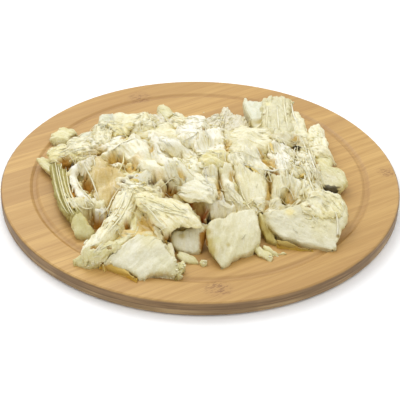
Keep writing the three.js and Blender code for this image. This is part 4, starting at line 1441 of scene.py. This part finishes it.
# Each rough place as its middle and its reach in pixels of the photograph, and how many crumbs lie
# there
ROUGH = [
    (143, 186, 18, 8, 60), (298, 160, 12, 10, 50), (316, 140, 8, 12, 30), (185, 162, 12, 8, 30),
    (179, 268, 5, 8, 26), (204, 262, 2, 2, 5), (170, 277, 10, 2, 14), (92, 264, 14, 4, 14),
    (315, 215, 22, 14, 30), (225, 119, 16, 8, 24), (155, 120, 9, 7, 20), (80, 160, 8, 9, 20),
    (220, 150, 10, 10, 20), (255, 205, 16, 6, 24), (335, 250, 6, 3, 8), (270, 258, 8, 3, 6),
]
crumb_tree = tree_of(cod_parts)
CRUMB_REACH = (0.4, 0.9)
BOARD_CRUMBS_DROPPED = 0.8
crumb_bits = []
for px, py, reach_x, reach_y, count in ROUGH:
    for _ in range(count):
        x, y = px + random.gauss(0, 0.5) * reach_x, py + random.gauss(0, 0.5) * reach_y
        hit = seen_on(crumb_tree, x, y)
        if hit is None:
            ray = sight(x, y).normalized()
            hit = CAMERA_PLACE + ray * ((BOARD_TOP - CAMERA_PLACE.z) / ray.z)
            if random.random() < BOARD_CRUMBS_DROPPED:
                continue
        size = random.uniform(*CRUMB_REACH) * MM
        turn = random.uniform(0, 6.28)
        spin = Matrix.Rotation(turn, 3, Vector([random.uniform(-1, 1) for _ in range(3)]))
        stretch = np.array([random.uniform(0.8, 1.6), 1, 0.8])
        shape = crumb_shape @ np.array(spin) * stretch * size
        crumb_bits.append((
            shape + np.array(hit) + (0, 0, 0.3 * size),
            shape + [random.uniform(-1, 1) for _ in range(3)],
            np.tile(random.choice([WHITE, IVORY, CREAM, YELLOW]), (len(crumb_shape), 1)),
        ))
loose_bits("heap_crumbs", crumb_bits, crumb_faces)

# ---- Stains ----
# The flesh is yellower in some places and golden where skin was. Many of the stains are painted
# shade and one is painted light, as told at their table. The tops are painted paler than the
# sides where they face the lamp and the ceiling: painted light and shade.
GOLD = rgb(208, 168, 84)
OCHRE = rgb(186, 168, 100)
DARK_OCHRE = rgb(140, 116, 62)
# Each stain as its middle in the photograph, its reach in millimetres, its colour and its strength
# Painted shade among them: the ochre stains on the side and lower faces of the chunks, the block
# and the slab, the greenish and olive ones low on the chunks, the amber ones under the lower edges
# of sheets and the dark ochre spots in notches and pits. The broad ivory stain on the middle
# chunk's upper face is painted light.
STAINS = [
    (208, 232, 3, OCHRE, 0.8), (209, 242, 4, OCHRE, 0.9), (211, 251, 4.5, OCHRE, 0.9),
    (213, 259, 4.5, OCHRE, 0.9), (216, 266, 4, OCHRE, 0.8), (228, 245, 1.4, OCHRE, 1.0),
    (240, 246, 14, GREENISH, 0.2), (253, 250, 10, GREENISH, 0.25), (217, 240, 3, OLIVE, 0.6),
    (245, 215, 14, IVORY, 0.5), (261, 224, 3, OCHRE, 0.8), (108, 268, 2.5, SKIN_GOLD, 0.8),
    (119, 273, 2.5, SKIN_GOLD, 0.8), (128, 277, 2.5, SKIN_GOLD, 0.8), (168, 268, 9, GREENISH, 0.3),
    (180, 272, 6, OLIVE, 0.5), (128, 250, 10, WHITE, 0.3), (150, 238, 8, YELLOW, 0.4),
    (266, 232, 5, OCHRE, 0.9), (271, 241, 4, OCHRE, 0.9), (309, 206, 1.4, DARK_OCHRE, 1.0),
    (290, 212, 4, YELLOW, 0.8), (338, 236, 1.4, DARK_OCHRE, 1.0), (335, 205, 12, YELLOW, 0.5),
    (325, 225, 10, YELLOW, 0.4), (182, 236, 2.2, OCHRE, 1.0), (188, 246, 7, WHITE, 0.4),
    (268, 104, 3, YELLOW, 0.9), (260, 122, 4, OCHRE, 0.8), (252, 123, 4, OCHRE, 0.5),
    (264, 114, 1.4, DARK_OCHRE, 0.7), (287, 114, 1.4, DARK_OCHRE, 0.7), (274, 134, 4, OCHRE, 0.6),
    (282, 136, 3, OCHRE, 0.6), (78, 233, 8, GREENISH, 0.5), (62, 132, 9, YELLOW, 0.5),
    (105, 170, 9, GOLD, 0.35), (98, 152, 7, GOLD, 0.3), (112, 190, 8, GOLD, 0.25),
    (330, 178, 9, GREY, 0.5), (322, 160, 6, YELLOW, 0.5), (218, 160, 9, YELLOW, 0.6),
    (150, 200, 10, YELLOW, 0.4), (175, 214, 8, YELLOW, 0.5), (200, 208, 5, TAN, 0.7),
    (135, 158, 6, AMBER, 0.5), (158, 176, 5, AMBER, 0.5),
]
# The way towards the lamp and the ceiling: surfaces turned away from it are painted yellower, as
# painted shade
LIGHT_WAY = (-0.3, 0.1, 0.95)
SHADED_SIDE_TONE = rgb(252, 248, 228)


def normals_of(part):
    normals = np.empty(len(part.data.vertices) * 3)
    part.data.vertices.foreach_get("normal", normals)
    return normals.reshape(-1, 3)


stain_tree = tree_of(cod_parts)
stain_spots = [seen_on(stain_tree, px, py) for px, py, *_ in STAINS]
for part in cod_parts:
    places = measure(part)
    tones = tints_of(part)
    for (px, py, reach, tone, strength), spot in zip(STAINS, stain_spots):
        if spot is None:
            continue
        off = np.linalg.norm(places - np.array(spot), axis=1) / (reach * MM)
        share = strength * np.clip(1.5 - off, 0, 1)[:, None]
        tones = tones * (1 - share) + share * np.array(tone)
    # painted light and shade: a surface keeps its tint where it faces the light and turns yellower
    # as it turns away
    facing_light = np.clip(normals_of(part) @ np.array(LIGHT_WAY), 0, 1)[:, None]
    tones = tones * (facing_light + (1 - facing_light) * np.array(SHADED_SIDE_TONE))
    surface_value(part, "tint", "FLOAT_COLOR", tones)

# ---- Flesh ----
# Soaked cod is pale and a little clear, and whiter where fibres part. How open each spot lies is
# measured on the whole heap, and where the pieces round it shut it in the flesh is painted darker
# and yellower: painted shade.
FAR = 20 * MM
OFF_SURFACE = 0.4 * MM
SLANTED = (0.31, 0.52, 0.8)
# Rings of ways to look out from a spot: how far each leans, in degrees, and how many are in it
LOOKS = [(25, 3), (60, 5)]
ways = []
for lean, count in LOOKS:
    for k in range(count):
        around = 2 * math.pi * (k + lean / 90) / count
        out = math.sin(math.radians(lean))
        ways.append((out * math.cos(around), out * math.sin(around), math.cos(math.radians(lean))))
whole_tree = tree_of(cod_parts)
for part in cod_parts:
    normals = normals_of(part)
    spots = (measure(part) + normals * OFF_SURFACE).tolist()
    across = np.cross(normals, SLANTED)
    across /= np.maximum(np.linalg.norm(across, axis=1), 1e-6)[:, None]
    other = np.cross(normals, across)
    blocked = np.zeros(len(spots))
    for right, back, out in ways:
        rays = (right * across + back * other + out * normals).tolist()
        blocked += [
            whole_tree.ray_cast(spot, ray, FAR)[0] is not None for spot, ray in zip(spots, rays)
        ]
    blocked /= len(ways)
    edges = np.empty(len(part.data.edges) * 2, dtype=np.int32)
    part.data.edges.foreach_get("vertices", edges)
    a, b = edges[::2], edges[1::2]
    joined = np.bincount(a, minlength=len(blocked)) + np.bincount(b, minlength=len(blocked))
    for _ in range(3):
        near = np.bincount(a, blocked[b], len(blocked)) + np.bincount(b, blocked[a], len(blocked))
        blocked = 0.4 * blocked + 0.6 * near / joined
    surface_value(part, "hollow", "FLOAT", blocked)


def flesh_finish(name, depth, streaky, mottled, speckled):
    """The cod's finish: how its fibres stand out, and how streaky, mottled and speckled it is."""
    flesh = Finish(name)
    grain = flesh.attribute("grain")
    tint = flesh.attribute("tint", "Color")
    hollow = flesh.attribute("hollow", "Fac")
    patches = flesh.noise(flesh.stretched(flesh.place, (60, 60, 60)), 1.0, 3.0, 0.55)
    wander = flesh.noise(flesh.stretched(grain, (110, 110, 110)), 1.0, 1.0, 0.5, "Color")
    wander = flesh.step("ShaderNodeVectorMath", {0: wander, "Scale": 2.5 * MM}, operation="SCALE")
    wandering = flesh.step("ShaderNodeVectorMath", {0: grain, 1: wander}, operation="ADD")
    strands = flesh.noise(flesh.stretched(wandering, (70, 520, 400)), 1.0, 3.0, 0.6)
    fine_strands = flesh.noise(flesh.stretched(wandering, (160, 1200, 900)), 1.0, 2.0, 0.6)
    crumbly = flesh.noise(flesh.stretched(flesh.place, (750, 750, 750)), 1.0, 3.0, 0.65)
    blotches = flesh.noise(flesh.stretched(flesh.place, (190, 190, 190)), 1.0, 3.0, 0.65)
    pale = flesh.band(flesh.step("ShaderNodeRGBToBW", {"Color": tint}, "Val"), 0.3, 0.75)

    def darkened(pattern, low, high, share, colour, dark):
        return flesh.blend(flesh.band(pattern, low, high, 0.0, share), colour, dark, "MULTIPLY")

    def whitened(pattern, low, high, share, colour, white):
        white_share = flesh.sum(flesh.band(pattern, low, high, share, 0.0), pale, "MULTIPLY")
        return flesh.blend(white_share, colour, white)

    colour = darkened(patches, 0.48, 0.75, 0.25, tint, rgb(238, 230, 190))
    colour = whitened(patches, 0.28, 0.45, 0.25, colour, rgb(242, 238, 220))
    colour = darkened(blotches, 0.52, 0.7, mottled, colour, rgb(232, 224, 176))
    colour = whitened(blotches, 0.3, 0.48, mottled, colour, rgb(243, 240, 226))
    colour = darkened(strands, 0.5, 0.7, streaky, colour, rgb(232, 222, 172))
    colour = whitened(strands, 0.3, 0.48, streaky, colour, rgb(243, 240, 224))
    colour = darkened(crumbly, 0.5, 0.68, speckled, colour, rgb(222, 208, 160))
    colour = whitened(crumbly, 0.32, 0.48, speckled, colour, rgb(246, 244, 234))
    # Painted shade: darker and yellower where the heap round a spot shuts out the light
    colour = darkened(hollow, 0.3, 0.8, 1.0, colour, rgb(255, 249, 226))
    colour = darkened(hollow, 0.75, 1.0, 0.8, colour, rgb(247, 230, 182))
    shader = flesh.shader.inputs
    flesh.join(colour, shader["Base Color"])
    shader["Roughness"].default_value = 0.5
    flesh.join(flesh.band(pale, 0.1, 1.0, 0.0, 0.5), shader["Specular IOR Level"])
    flesh.join(flesh.band(pale, 0.0, 1.0, 0.0, 0.35), shader["Subsurface Weight"])
    shader["Subsurface Radius"].default_value = (1.0, 0.92, 0.75)
    shader["Subsurface Scale"].default_value = 1.8 * MM
    bumps = flesh.sum(flesh.sum(strands, fine_strands), flesh.sum(crumbly, 1.2, "MULTIPLY"))
    raised = {"Height": bumps, "Strength": depth, "Distance": 0.8 * MM}
    flesh.join(flesh.step("ShaderNodeBump", raised), shader["Normal"])
    return flesh.material


loose_flesh = flesh_finish("loose_flesh", depth=0.6, streaky=0.5, mottled=0.3, speckled=0.22)
firm_flesh = flesh_finish("firm_flesh", depth=0.55, streaky=0.22, mottled=0.22, speckled=0.15)
FIRM = ("chunk", "block", "left_strand", "lobe", "slab")
for part in cod_parts:
    part.data.materials.clear()
    is_firm = any(word in part.name for word in FIRM)
    part.data.materials.append(firm_flesh if is_firm else loose_flesh)
for _, space in (waves, frays, wide_frays, wander, lumps, fibres, crumbs):
    bpy.data.objects.remove(space)
